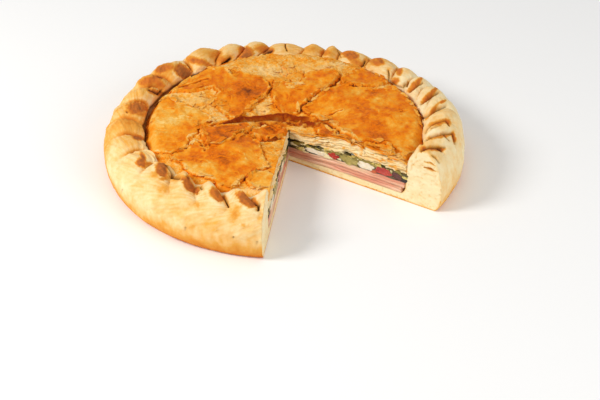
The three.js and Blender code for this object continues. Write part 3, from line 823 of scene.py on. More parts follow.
def rim_point(degrees, turn, inner):
    """Radius, height and marks of the rolled rim. On the outer side turn 0 is the widest
    place and 90 the crest; on the inner side turn 0 is the crest and 90 the groove."""
    angle = np.radians(turn)
    crest = crest_height(degrees)
    right = smooth(degrees, -30, 0) * (1 - smooth(degrees, 25, 55))
    tuck = knots(degrees, TUCKS)
    if inner:
        groove = GROOVE_RADIUS - 2.6 * right - 3.0 * smooth(degrees, 212, 225)
        radius = CREST_RADIUS - tuck - (CREST_RADIUS - tuck - groove) * np.sin(angle)
        height = GROOVE_HEIGHT + (crest - GROOVE_HEIGHT) * np.cos(angle)
        across = -turn / 90
        steepness = -math.radians(turn) * 0.7
        depth = CRIMP_DEPTH * (1 - smooth(turn, 30, 90) * 0.7)
    else:
        height = BULGE_HEIGHT + (crest - BULGE_HEIGHT) * np.sin(angle)
        radius = CREST_RADIUS + (TART_RADIUS - CREST_RADIUS) * np.cos(angle) - tuck * np.sin(angle)
        across = 1 - turn / 90
        steepness = math.pi / 2 - angle
        pressed = -0.5 * bell(turn - 32, 16) * smooth(degrees, 130, 170)
        depth = CRIMP_DEPTH * (smooth(turn, 12, 80) + pressed)
    front = smooth(degrees, 205, 225)
    lean = knots(degrees, LEANS) * knots(across, LEAN_SHAPE)
    wobble = 0.7 * noise(degrees / 5, across * 1.8, 5)
    index, share = crimp_at(degrees - lean + 0.8 * knots(degrees, LEANS) + wobble)
    strength = 0.85 + 0.35 * chance(index, 2)
    ridge = strength * np.sin(np.pi * share**1.25) ** 0.65 - 0.72
    push = depth * ridge * (1 - 0.25 * front)
    # The pinched points at the front stand highest just inside the crest.
    pinched = front * np.exp(-((share - 0.5) / 0.27) ** 2 - ((across + 0.32) / 0.34) ** 2)
    pitch = np.radians(CRIMP_PITCH) * radius
    gap = np.minimum(share, 1 - share) * pitch
    crack = bell(gap, 1.1 + 0.5 * chance(index, 3)) * bell(across + 0.2, 0.55) * (1 - 0.7 * front)
    back_left = bell(degrees - 150, 45)
    push = push - (1.2 + 0.9 * back_left) * crack
    # Small folds that run along each ridge, and the uneven skin of the dough.
    arc = np.radians(degrees) * radius
    run = across * 30
    folded = smooth(0.6 - across, 0, 0.5) * smooth(across, -1.0, -0.2)
    folded = folded * (0.45 + 0.35 * back_left + 0.3 * bell(degrees + 12, 20))
    folds = noise((arc - run * 0.7) / 6.0 + 0.5 * noise(arc / 11, run / 8, 17), run / 12, 7)
    push = push + 0.7 * folds * np.abs(folds) * folded * 1.6
    push = push + 0.9 * fractal(arc / 15, run / 13, 8) + 0.55 * fractal(arc / 4.5, run / 4, 13)
    push = push + 0.2 * fractal(arc / 1.5, run / 1.5, 9)
    core_radius = CREST_RADIUS - 1.5 - tuck
    core_height = 0.62 * crest
    out_r, out_z = radius - core_radius, height - core_height
    size = np.hypot(out_r, out_z)
    # The bulge is a little uneven round the tart.
    round_angle = np.radians(degrees)
    uneven = 0.7 * np.sin(3 * round_angle + 1.1) + 0.5 * np.sin(7 * round_angle + 0.4)
    uneven = uneven + 0.3 * np.sin(13 * round_angle)
    swell = 0 if inner else uneven * np.sin(2 * angle)
    radius, height = radius + out_r / size * push + swell, height + out_z / size * push
    radius, height = radius - 1.5 * pinched, height + 4.2 * pinched
    # Browning that the photograph doesn't show: an oval on each crimp's outer side.
    shown = facing_photo(degrees, steepness)
    hidden = bell(share - 0.6, 0.3) * bell(across - 0.05, 0.3) * (0.5 + 0.5 * chance(index, 4))
    tone = wall_tone(degrees, height) + 0.10 * fractal(arc / 3.2, run / 3.2, 14)
    tone = tone + knots(degrees, CREST_TONES) * bell(across + 0.1, 0.5) + 0.45 * hidden * (1 - shown)
    tone = tone - 0.12 * np.clip(-ridge, 0, 1) * (1 - smooth(across, 0.3, 0.6))
    # Darker in the cracks between the crimps, most at the back left: painted shade.
    tone = tone + (0.25 + 0.15 * back_left) * crack
    crease = 0.3 * np.clip(crack - 0.5, 0, 1) * 2 * (1 - right * 0.5)
    if inner:
        # Painted shade in the gap between the lid and the rim.
        crease = np.maximum(crease, 0.85 * knots(degrees, GAP_SHADES) * smooth(turn, 74, 88))
        # Lumps of dough that squeezed up between the lid and the rim at the front left.
        lumpy = bell(degrees - 208, 8) * smooth(-across, 0.35, 0.7)
        height = height + lumpy * (1.6 + 2.4 * noise(arc / 5, run / 9, 18))
        tone = tone - 0.06 * lumpy
        crease = crease * (1 - lumpy)
    x, y = place(degrees, radius)
    sink, tone, crease = photo_marks(x, y, height, shown, tone, crease)
    radius, height = radius - out_r / size * sink, height - out_z / size * sink
    return radius, height, {"tone": tone, "crease": crease}


def wall_tone(degrees, height):
    """How dark the plain dough is: palest on the left, golden towards the foot; partly browning, partly
    painted light and shade.
    """
    arc = np.radians(degrees) * TART_RADIUS
    patches = 0.15 * fractal(arc / 26, height / 18, 11) + 0.06 * fractal(arc / 7, height / 6, 15)
    # Darker towards the foot and at its very edge: partly browning, partly painted shade.
    low = 0.22 * (1 - smooth(height, 3, 18)) + 0.15 * (1 - smooth(height, 0, 5))
    low = low + 0.06 * bell(degrees - 200, 20) * (1 - smooth(height, 8, 28))
    return knots(degrees, WALL_TONES) + patches + low


def foot_point(degrees, turn):
    """Radius, height and marks of the wall below its widest place, which is turn 90."""
    angle = math.radians(turn)
    radius = BASE_RADIUS + (TART_RADIUS - BASE_RADIUS) * math.sin(angle)
    height = BULGE_HEIGHT * (1 - math.cos(angle)) + np.zeros_like(degrees)
    arc = np.radians(degrees) * radius
    run = 30 + (90 - turn) / 90 * 18
    push = 0.9 * fractal(arc / 15, run / 13, 8) + 0.55 * fractal(arc / 4.5, run / 4, 13)
    push = (push + 0.2 * fractal(arc / 1.5, run / 1.5, 9)) * smooth(turn, 5, 50)
    tone = wall_tone(degrees, height) + 0.10 * fractal(arc / 3.2, run / 3.2, 14)
    radius = radius + push
    x, y = place(degrees, radius)
    shown = facing_photo(degrees, math.pi / 2)
    sink, tone, crease = photo_marks(x, y, height, shown, tone, np.zeros_like(degrees))
    return radius - sink, height, {"tone": tone, "crease": crease}


def flat_row(where, radius, height, tone):
    """A plain row of the crust: its directions, radii, heights and marks."""
    return where, np.full_like(where, radius), np.zeros_like(where) + height, {"tone": tone}


def crust_chains(angles, coarse):
    """Rows of the crust from the middle of its underside to its crest, and from the
    middle of its floor to its crest. Both have the same number of rows."""
    middle = np.array([CUT_RIGHT])
    outer = [flat_row(middle, 0.0, 0.0, 0.45)]
    for radius in np.linspace(6, BASE_RADIUS - 5, 14):
        outer.append(flat_row(coarse, radius, 0.0, 0.45 + 0.1 * fractal(coarse / 9, radius / 9, 3)))
    outer.append(flat_row(angles, BASE_RADIUS - 3, 0.0, 0.4))
    outer += [(angles, *foot_point(angles, turn)) for turn in (6, 18, 30, 42, 54, 66, 78)]
    for turn in np.linspace(0, 90, 48):
        outer.append((angles, *rim_point(angles, turn, False)))
    inner = [flat_row(middle, 0.0, FLOOR_TOP * settle(CUT_RIGHT, 0.0), 0.15)]
    for radius in np.linspace(3, 101, 32):
        inner.append(flat_row(coarse, radius, FLOOR_TOP * settle(coarse, radius), 0.15))
    # The inside of the wall, by radius and height, from the floor to the groove.
    wall = [(102.4, 6.7), (103.6, 8.5), (104.4, 10.5), (104.8, 16.0), (105.2, 22.5), (105.4, 26.5)]
    inner += [flat_row(coarse, radius, height, 0.3) for radius, height in wall]
    for turn in np.linspace(90, 3, 32):
        inner.append((angles, *rim_point(angles, turn, True)))
    assert len(inner) == len(outer)
    return outer, inner


def crumb_relief(radius, height):
    """Depth and darkness of a cut through dough: pores, and slits where it was rolled. The darkness is
    painted shade in them.
    """
    core_r, core_z = radius - 119.5, height - 24
    turn = np.arctan2(core_z, core_r) / (2 * np.pi)
    spiral = (np.hypot(core_r, core_z) * (1 + 0.15 * noise(radius / 6, height / 6, 21)) / 6.5 - turn) % 1
    rolled = bell(spiral - 0.5, 0.045) * smooth(radius, 104, 109) * smooth(radius, 116, 124)
    rolled = rolled * smooth(noise(radius / 7, height / 4, 22), 0.05, 0.5)
    layers = bell(noise(radius / 14, height / 1.6, 23), 0.1) * (1 - smooth(radius, 100, 108))
    pores = smooth(fractal(radius / 1.6, height / 1.1, 24), 0.18, 0.5)
    depth = 0.5 * rolled + 0.25 * layers + 0.6 * pores + 0.45 * fractal(radius / 4, height / 4, 25)
    return depth, 0.12 * rolled + 0.05 * layers + 0.1 * pores


# Space between points on the crust's cut faces, outwards and upwards, in millimetres.
CUT_SPACING = (1.05, 0.9)
# Where the rolled dough shows as lines in the right cut: pixels along them, half width, how brown.
SWIRLS = [
    ([(424, 162), (430, 163), (436, 166.5)], 0.9, 0.45),
    ([(424, 167.4), (430, 169), (435.5, 171.6)], 1.1, 0.75),
    ([(411, 172), (411.5, 166), (416, 161.5), (423, 160)], 0.8, 0.14),
    ([(416, 171), (419, 166.5), (425, 165)], 0.7, 0.12),
    ([(421, 176), (428, 174), (434, 176)], 0.8, 0.12),
]


def fill_cut(rows, loop, corners, outer_count, degrees, outward):
    """Fills a cut face of the crust, only inside its outline, with the relief of its crumb."""
    columns, lines = np.arange(1.0, 138, CUT_SPACING[0]), np.arange(0.8, 50, CUT_SPACING[1])
    radius, height = (grid.ravel() for grid in np.meshgrid(columns, lines))
    radius = radius + 0.5 * (chance(np.arange(radius.size), 31) - 0.5)
    height = height + 0.4 * (chance(np.arange(radius.size), 32) - 0.5)
    edge = outline_distance(radius, height, corners)
    inside = edge > 0.55
    radius, height, edge = radius[inside], height[inside], edge[inside]
    skin, _, _ = line_distance(radius, height, corners[:outer_count])
    depth, dark = crumb_relief(radius, height)
    px, py = seen_at(*place(degrees, radius), height)
    for path, width, browned in SWIRLS if outward < 0 else []:
        distance, along, _ = line_distance(px, py, path)
        rolled = bell(distance, width * np.sin(np.pi * np.clip(along, 0.1, 0.9)))
        depth, dark = depth + 1.6 * rolled * browned, dark + browned * rolled
    side = -outward * (depth - 0.1) * smooth(edge, 0, 1.2)
    baked = blend(0.3, 0.6, 1 - smooth(radius, 96, 108)) * bell(skin, 0.9)
    # Darker in the pores, layers and rolled slits: painted shade, and browning along the rolled lines.
    tone = 0.09 + 0.08 * fractal(radius / 7, height / 3, 26) + dark + baked
    made = rows.add(*place(degrees, radius, side), height, tone=tone, crease=0.45 * dark)
    flat = [Vector(spot) for spot in (*corners, *zip(radius.tolist(), height.tolist()))]
    spots = loop + made.tolist()
    points, _, triangles, origins, _, _ = delaunay_2d_cdt(flat, [], [list(range(len(loop)))], 1, 1e-5, True)
    for number, (point, origin) in enumerate(zip(points, origins)):
        if not origin:
            raise ValueError(f"the cut outline at {degrees} degrees crosses itself at {tuple(point)}")
        origins[number] = spots[min(origin)]
    middle = np.array([[points[k] for k in triangle] for triangle in triangles]).mean(1)
    kept = outline_distance(middle[:, 0], middle[:, 1], corners) > 0
    for triangle in (triangle for triangle, keep in zip(triangles, kept) if keep):
        face = [origins[k] for k in triangle]
        rows.faces.append(face if outward < 0 else face[::-1])


def build_crust(material, columns):
    """The crust in one closed piece; columns is how many points go round its rim."""
    angles = np.linspace(CUT_RIGHT, CUT_LEFT, columns)
    coarse = np.linspace(CUT_RIGHT, CUT_LEFT, 70)
    rows = Rows()
    rows.marks = {"tone": [], "crease": []}
    chains = crust_chains(angles, coarse)
    outer, inner = (
        [rows.add(*place(where, radius), height, **marks) for where, radius, height, marks in chain]
        for chain in chains
    )
    for below, above in zip(outer, outer[1:]):
        rows.join(below, above)
    for below, above in zip([outer[-1]] + inner[:0:-1], inner[::-1]):
        rows.join(below, above)
    for end, outward, degrees in ((0, -1, CUT_RIGHT), (-1, 1, CUT_LEFT)):
        loop = [int(row[end]) for row in outer + inner[::-1]]
        corners = [(float(row[1][end]), float(row[2][end])) for row in chains[0] + chains[1][::-1]]
        fill_cut(rows, loop, corners, len(outer), degrees, outward)
    return rows.piece("roped_crust", material)


# ---- The lid ----

# Sheets of glazed pastry that are still whole, as outlines in the photograph's pixels.
# rise: millimetres above the torn pastry. tone: how brown. curl: how far its edge lifts.
SHEETS = {
    "west": dict(
        outline=[(145, 136), (150, 117), (158, 103), (169, 95), (180, 105), (193, 108), (207, 114),
                 (214, 120), (201, 125), (196, 134), (188, 139), (186, 148), (168, 153), (150, 148)],
        rise=1.3, tone=0.53, curl=0.5,
    ),
    "north_west": dict(
        outline=[(170, 92), (181, 83), (200, 67), (212, 69), (227, 71), (232, 78), (241, 74), (256, 78),
                 (267, 82), (271, 89), (267, 97), (258, 102), (254, 109), (245, 114), (242, 119),
                 (230, 119), (210, 101), (220, 94), (214, 88), (187, 93)],
        rise=1.8, tone=0.69, curl=0.8,
    ),
    "north": dict(
        outline=[(275, 80), (272, 94), (276, 109), (285, 117), (298, 114), (301, 107), (314, 96), (327, 88),
                 (341, 77), (333, 72), (306, 73), (301, 84), (292, 88), (289, 80)],
        rise=1.3, tone=0.62, curl=0.5,
    ),
    "east": dict(
        outline=[(301, 110), (315, 98), (327, 90), (342, 85), (362, 89), (380, 88), (391, 85), (404, 95),
                 (417, 108), (423, 123), (424, 140), (417, 148), (406, 157), (398, 149), (390, 142),
                 (367, 140), (358, 142), (351, 135), (340, 132), (334, 126), (327, 120), (316, 117)],
        rise=1.4, tone=0.62, curl=0.8,
    ),
    "north_east_flap": dict(
        outline=[(341, 79), (348, 75), (362, 70), (369, 68), (389, 81), (380, 87), (362, 87), (344, 86)],
        rise=2.4, tone=0.72, curl=1.0,
    ),
    "cut_strip": dict(
        outline=[(315, 120), (323, 121), (335, 131), (352, 142), (357, 152), (350, 150), (335, 143),
                 (318, 134)],
        rise=0.2, tone=0.72, curl=0.2,
    ),
    "cut_flake": dict(
        outline=[(359, 148), (370, 144), (390, 147), (395, 152), (383, 156), (366, 153)],
        rise=1.6, tone=0.58, curl=1.3,
    ),
    "front": dict(
        outline=[(174, 153), (187, 149), (193, 140), (203, 148), (217, 147), (231, 142), (239, 135),
                 (250, 137), (259, 144), (263, 154), (268, 167), (257, 171), (246, 178), (231, 189),
                 (221, 188), (211, 179), (198, 176), (186, 172), (183, 164), (173, 161)],
        rise=1.4, tone=0.6, curl=0.6,
    ),
    "front_edge": dict(
        outline=[(247, 178), (253, 171), (268, 171), (276, 178), (272, 190), (258, 190), (249, 185)],
        rise=0.9, tone=0.54, curl=0.4,
    ),
    "vent_flake": dict(
        outline=[(199, 127), (208, 127.5), (217, 128.5), (247, 126.5), (255, 131), (250, 134), (237, 136),
                 (231, 142), (217, 147), (208, 147), (203, 138)],
        rise=2.3, tone=0.80, curl=0.8,
    ),
    "tip_flake": dict(
        outline=[(249, 136), (256, 132), (274, 128), (285, 131), (284, 137), (276, 140), (268, 140),
                 (258, 138)],
        rise=3.0, tone=0.75, curl=1.4,
    ),
}

# Paler, drier places between the sheets: pixel, half sizes, turn and how pale.
PALE_ZONES = [
    (201, 102, 16, 9, 25, 0.12), (222, 108, 12, 6, 40, 0.10),
    (265, 70, 34, 5, 0, 0.13), (295, 87, 7, 4.5, 0, 0.16),
    (262, 110, 9, 6, 20, 0.20), (200, 128, 9, 4, 20, 0.08),
    (203, 147, 6, 4, 0, 0.10), (310, 68, 22, 4, 10, 0.14),
    (345, 140, 16, 7, 30, 0.20), (335, 66, 12, 4, 15, 0.1),
    (260, 192, 14, 4, 5, 0.10), (235, 190, 9, 4, 0, 0.12),
    (388, 154, 18, 6, 14, 0.26), (213, 186, 10, 4, 20, 0.10),
]
# Thin flakes that stand up and catch the light, by pixels along them.
FLAKES = [
    [(386, 116), (391, 118), (397, 124)],
    [(396, 114), (401, 113), (407, 111.5)], [(398, 117.5), (403, 119)],
    [(343, 84), (352, 86.5), (362, 87)],
    [(362, 88.5), (372, 91), (379, 95.5)], [(366, 93), (372, 93.5)],
    [(380, 88), (386, 90), (389, 94)], [(352, 104), (360, 107), (364, 111)], [(364, 99), (371, 104)],
    [(374, 110), (380, 117)], [(330, 92), (322, 97), (313, 103)], [(285, 92), (290, 97), (288, 104)],
    [(225, 92), (231, 97), (232, 103)], [(247, 82), (252, 88)], [(160, 112), (170, 110), (178, 113)],
    [(152, 128), (160, 131), (170, 130)],
    [(165, 142), (176, 143), (184, 140)], [(186, 118), (194, 119)],
    [(214, 160), (222, 158), (233, 160)], [(236, 152), (244, 156), (247, 163)],
    [(196, 160), (206, 163), (214, 168)],
    [(230, 172), (238, 173), (243, 178)], [(255, 152), (260, 158), (260, 164)],
    [(222, 138), (228, 134), (237, 132)],
    [(262, 133), (270, 131), (279, 133)],
    [(336, 131), (342, 136), (350, 138)], [(344, 143), (352, 145)],
    [(405, 146), (411, 149), (414, 154)], [(376, 144), (386, 146), (393, 151)], [(180, 98), (186, 99)],
    [(205, 92), (212, 96), (214, 101)],
    [(243, 72), (253, 70), (262, 73)], [(300, 70), (310, 67), (322, 68)],
    [(286, 75), (294, 77), (300, 81)], [(268, 126), (276, 125), (284, 127)],
    [(190, 84), (196, 79), (204, 76)],
]

# Cracks in the lid: pixels along them, width and depth in millimetres.
CRACKS = [
    dict(path=[(299, 108), (315, 97), (329, 88), (342, 79)], width=1.1, depth=2.6),
    dict(path=[(329, 124), (339, 133), (350, 137), (354, 147), (358, 153)], width=1.1, depth=2.6),
    dict(path=[(171, 92), (188, 86), (209, 81)], width=0.9, depth=2.2),
    dict(path=[(207, 146), (204, 153)], width=0.8, depth=1.8),
    dict(path=[(190, 138), (197, 140), (203, 147)], width=0.7, depth=1.2),
    dict(path=[(321, 119), (335, 112), (342, 110)], width=0.7, depth=1.3),
    dict(path=[(250, 138), (267, 141), (284, 139)], width=1.0, depth=2.0),
    dict(path=[(268, 82), (271, 90), (267, 97)], width=0.6, depth=0.8),
    dict(path=[(213, 124), (222, 128), (240, 128)], width=0.6, depth=0.9),
    dict(path=[(209, 125), (221, 123.4), (240, 120.8)], width=1.6, depth=3.2),
]

# Places where the glaze baked darker (above 0) or stayed lighter: pixel, radius, amount.
TONE_SPOTS = [
    ((246, 98), 20, 0.10), ((253, 88), 12, 0.06), ((200, 75), 14, -0.12), ((179, 122), 16, -0.06),
    ((172, 140), 12, 0.07), ((205, 158), 18, 0.05), ((245, 152), 20, 0.10), ((190, 168), 12, -0.12),
    ((225, 178), 12, -0.02), ((262, 180), 12, -0.08), ((322, 98), 16, 0.06), ((345, 108), 18, 0.02),
    ((400, 120), 22, -0.03), ((385, 135), 18, 0.07), ((360, 128), 14, -0.02), ((300, 100), 14, 0.0),
    ((318, 128), 10, 0.10), ((388, 98), 16, 0.05), ((270, 72), 22, -0.06),
    ((216, 105), 14, -0.10), ((240, 130), 16, 0.06),
]

# The slit for steam: pixels along it, and its width and depth in millimetres.
VENT_PATH = [(214, 125.2), (228, 122.8), (246, 120.6), (266, 119), (286, 118.2), (312, 118)]
VENT_WIDTH = 4.4
VENT_DEPTH = 3.6
# Broken, burnt crust between the slit and the right cut, by pixels along it.
BURNT_PATH = [(263, 125), (275, 125.5), (287, 122), (300, 122), (315, 123), (326, 121)]


def torn(x, y, size=1.0):
    """Moves places a little, so that outlines look torn."""
    dx = 2.2 * fractal(x / 6, y / 6, 41) + 1.3 * fractal(x / 2.2, y / 2.2, 42)
    dy = 2.2 * fractal(x / 6, y / 6, 43) + 1.3 * fractal(x / 2.2, y / 2.2, 44)
    return x + size * dx, y + size * dy


# How far the lid's edge drops into the groove, and how far it reaches, round the tart.
EDGE_DROPS = [
    (-34, 3.0), (0, 4.0), (30, 4.5), (45, 3.5), (60, 1.8),
    (90, 0.8), (112, 1.5), (125, 4.0), (140, 6.0),
    (160, 6.5), (190, 6.0), (200, 3.0), (222, 1.2), (263, 1.0),
]
EDGE_REACHES = [
    (-34, 106), (-5, 104.7), (50, 104.7), (75, 107), (110, 107), (130, 105.2), (145, 104.9),
    (190, 104.9), (208, 106.0), (263, 107),
]
# How dark the painted shade in the gap between lid and rim is, round the tart.
GAP_SHADES = [
    (-34, 0.5), (0, 0.6), (30, 0.6), (50, 0.3), (70, 0.1),
    (105, 0.1), (120, 0.6), (132, 1.0), (190, 1.0),
    (203, 0.5), (220, 0.1), (263, 0.0),
]


def lid_edge(degrees):
    """Radius at which the lid ends, a little uneven."""
    return knots(degrees, EDGE_REACHES) + 0.5 * noise(degrees / 3.0, 0.5, 45)


def add_sheets(x, y, crests, flaky, relief, tone):
    """Lays the glazed sheets over the torn pastry; gives relief, tone and gloss."""
    gloss = np.full_like(x, 0.25)
    tx, ty = torn(x, y)
    streaked = smooth(noise(x / 9, y / 9, 70), -0.1, 0.5)
    for sheet in SHEETS.values():
        distance = outline_distance(tx, ty, [on_lid(*pixel) for pixel in sheet["outline"]])
        there = smooth(distance, -0.2, 0.2)
        skin = sheet["rise"] + 0.3 * fractal(x / 3.2, y / 3.2, 55) + 0.35 * noise(x / 7, y / 7, 56)
        skin = skin + 0.35 * crests * streaked
        lip = 0.8 * sheet["curl"] * np.exp(-np.clip(distance, 0, None) / 1.4)
        lip = lip * (0.5 + 0.9 * noise(x / 7, y / 7, 57))
        relief = blend(relief, relief - flaky * 0.8 + skin + lip, there)
        glaze = sheet["tone"] - 0.02 + 0.24 * fractal(x / 14, y / 14, 58)
        glaze = glaze + 0.22 * fractal(x / 3.5, y / 5.5, 59)
        glaze = glaze - 0.1 * crests * streaked
        glaze = glaze - 0.04 * (1 - smooth(distance, 1.0, 4.0))
        for pixel, size, amount in TONE_SPOTS:
            cx, cy = on_lid(*pixel)
            glaze = glaze + amount * bell(np.hypot(x - cx, y - cy), size)
        glaze = np.where(glaze > 0.69, 0.69 + 0.55 * (glaze - 0.69), glaze)
        tone = blend(tone, glaze, there)
        # Paler along each sheet's broken edge: paler torn pastry, and a painted highlight where the edge
        # lifts.
        broken = bell(distance - 0.7, 0.8) * smooth(noise(x / 4, y / 4, 60), -0.2, 0.5)
        tone = blend(tone, np.minimum(tone, 0.36), broken * there)
        shade = bell(distance + 0.8, 0.8) * (1 - there)
        tone = tone + 0.34 * shade
        gloss = blend(gloss, 1.0, there) * (1 - 0.9 * broken)
    return relief, tone, gloss


def add_cracks(x, y, relief, tone):
    """Cracks with a lip on both sides, darkened inside with painted shade; gives relief and tone."""
    tx, ty = torn(x, y)
    for crack in CRACKS:
        wide, deep = crack["width"], crack["depth"]
        distance, along, _ = line_distance(tx, ty, [on_lid(*pixel) for pixel in crack["path"]])
        taper = np.sin(np.pi * np.clip(along, 0.04, 0.96)) ** 0.5
        cut = bell(distance, wide * taper)
        lip = bell(distance - 1.9 * wide, 0.8) * smooth(noise(x / 4, y / 4, 61), -0.5, 0.5)
        relief = relief - deep * cut * taper + 0.7 * lip
        # Darker inside the crack: painted shade.
        tone = blend(tone + 0.3 * cut - 0.25 * lip, 0.93, 0.75 * cut)
    return relief, tone


def add_standing_flakes(x, y, relief, tone, gloss):
    """Thin flakes that stand up, with shade on one side; gives relief, tone and gloss."""
    tx, ty = torn(x, y)
    for flake in FLAKES:
        distance, along, side = line_distance(tx, ty, [on_lid(*pixel) for pixel in flake])
        taper = np.sin(np.pi * np.clip(along, 0.03, 0.97))
        stands = bell(distance, 0.45) * taper
        relief = relief + 0.4 * stands - 0.3 * bell(distance - 1.0, 0.5) * (side < 0) * taper
        tone = tone - 0.15 * stands + 0.12 * bell(distance - 1.0, 0.5) * (side < 0) * taper
        gloss = gloss * (1 - 0.7 * stands)
    return relief, tone, gloss


def add_vent(x, y, relief, tone):
    """The slit for steam: steep behind, a smooth slope in front, rusty inside, with a band of painted shade
    along its back edge; gives relief, tone and rust."""
    wx, wy = torn(x, y, 0.12)
    distance, along, side = line_distance(wx, wy, [on_lid(*pixel) for pixel in VENT_PATH])
    ends = smooth(along, 0.0, 0.06) * (1 - smooth(along, 0.9, 1.0))
    half = VENT_WIDTH / 2 * blend(0.55, 1.0, smooth(along, 0, 0.5)) * (1 + 0.15 * noise(x / 5, 0.5, 73))
    half = half * blend(1.0, 0.65, smooth(along, 0.72, 0.9))
    deep = VENT_DEPTH * blend(0.75, 1.0, smooth(along, 0, 0.3))
    near = 1 - smooth(distance, half * 1.2, half * 3)
    cut = (1 - smooth(distance, half * 0.25, half * 1.25)) * ends
    front_lip = near * np.where(side < 0, 1.0, 0.35) * ends
    relief = relief * (1 - front_lip) - deep * cut + 0.9 * near * (1 - cut) * (side > 0) * ends
    behind = half * np.where(side > 0, 1.5, 1.0)
    rusty = (1 - smooth(distance, behind, behind * 1.15)) * smooth(along, 0.0, 0.03)
    rusty = rusty * (1 - smooth(along, 0.95, 1))
    rust = np.maximum(0.0, rusty * (0.75 + 0.45 * fractal(x / 5, y / 1.2, 65)))
    # A dark band along the back edge of the slit: painted shade.
    tone = blend(tone, 0.95, bell(distance - half * 1.2, 0.8) * (side > 0) * ends)
    rust = np.maximum(rust, 0.4 * (1 - smooth(distance, half, half * 2.4)) * ends)
    return relief, tone, rust


def add_burnt(x, y, relief, tone, rust):
    """Broken, burnt crust in dark and pale crumbs; gives relief, tone and rust."""
    distance, _, _ = line_distance(*torn(x, y), [on_lid(*pixel) for pixel in BURNT_PATH])
    burnt = 1 - smooth(distance, 2.0, 7.5)
    broken = fractal(x / 3.2, y / 2.6, 62)
    relief = relief + burnt * (-1.0 + 3.2 * broken)
    spots = smooth(fractal(x / 3, y / 3, 63), -0.25, 0.25)
    rust = np.maximum(rust, burnt * (0.3 + 0.65 * spots))
    tone = blend(tone, 0.70 + 0.45 * np.clip(-broken, -0.6, 0.6), burnt * 0.8)
    return relief, tone, rust


def lid_surface(x, y):
    """Height and marks of the lid's top."""
    degrees, radius = unplace(x, y)
    limit = lid_edge(degrees)
    edge = knots(degrees, EDGE_DROPS) * smooth(radius, limit - 8, limit)
    base = (LID_TOP - edge) * settle(degrees, radius)
    away = smooth(radius, 0, 12)
    broad = 0.9 * np.sin(x / 13 + 2) * np.sin(y / 17 + 0.5)
    relief = (broad + 0.9 * fractal(x / 11, y / 11, 51)) * away
    # The torn pastry underneath: dry, in thin ragged terraces.
    steps = fractal(x / 9, y / 9, 52, 5) * 5
    terraces = (np.floor(steps) + smooth(steps - np.floor(steps), 0.75, 1.0)) * 0.4
    wx, wy = x + 4 * fractal(x / 8, y / 8, 66), y + 4 * fractal(x / 8, y / 8, 67)
    crests = (1 - np.abs(noise(wx / 5.0, wy / 3.4, 68))) ** 4 * smooth(noise(x / 6, y / 6, 69), -0.4, 0.4)
    rough = fractal(x / 1.7, y / 1.7, 53)
    flaky = terraces + 0.4 * rough + 0.7 * crests
    relief = relief + flaky * away
    # Darker in the hollows of the fine roughness and at each terrace's step: painted shade.
    tone = 0.46 + 0.2 * fractal(x / 6, y / 6, 54) - 0.12 * crests + 0.3 * np.clip(-rough - 0.1, 0, 0.3)
    tone = tone + 0.16 * bell(steps - np.floor(steps) - 0.72, 0.08)
    px, py = seen_at(x, y, base)
    for cx, cy, long, short, turned, pale in PALE_ZONES:
        from_middle = np.hypot(*in_oval(px, py, cx, cy, long, short, turned))
        there = 1 - smooth(from_middle + 0.5 * fractal(px / 5, py / 5, 64), 0.6, 1.3)
        tone = tone - 1.15 * pale * there
    relief, tone, gloss = add_sheets(x, y, crests, flaky, relief, tone)
    relief, tone = add_cracks(x, y, relief, tone)
    relief, tone, gloss = add_standing_flakes(x, y, relief, tone, gloss)
    relief, tone, rust = add_vent(x, y, relief, tone)
    relief, tone, rust = add_burnt(x, y, relief, tone, rust)
    # The very edge, where the lid meets the rim, darkened with painted shade where it drops into the
    # groove.
    groove = smooth(knots(degrees, EDGE_DROPS), 1.2, 3.5)
    rim = smooth(radius, limit - 3.2, limit)
    tone = blend(tone, 0.93, 0.85 * rim * groove)
    fade = 1 - smooth(radius, limit - 4, limit - 0.5) * groove
    return base + relief * fade, {"tone": tone, "gloss": gloss, "rust": np.clip(rust, 0, 1)}


# Half the width of the grid that the lid is cut from, in millimetres, and the size of its
# cells, in most places and at the slit, as a share of the cell size in the settings.
GRID_REACH = 109
CELL_SHARE = 1.04
FINE_SHARE = 0.5


def cut_distances(x, y):
    """How far a place lies behind the right and the left cut face."""
    result = []
    for degrees, outward in ((CUT_RIGHT, -1), (CUT_LEFT, 1)):
        angle = math.radians(degrees)
        result.append(-outward * (-(x - APEX_X) * math.sin(angle) + y * math.cos(angle)))
    return result


def to_cut(x, y):
    """Moves places in the missing wedge to the nearest point of its sides."""
    best = np.full(x.shape, np.inf)
    bx, by = x.copy(), y.copy()
    for degrees in (CUT_RIGHT, CUT_LEFT):
        angle = math.radians(degrees)
        along = np.clip((x - APEX_X) * math.cos(angle) + y * math.sin(angle), 0, None)
        cx, cy = APEX_X + along * math.cos(angle), along * math.sin(angle)
        distance = np.hypot(x - cx, y - cy)
        closer = distance < best
        best = np.where(closer, distance, best)
        bx, by = np.where(closer, cx, bx), np.where(closer, cy, by)
    return bx, by


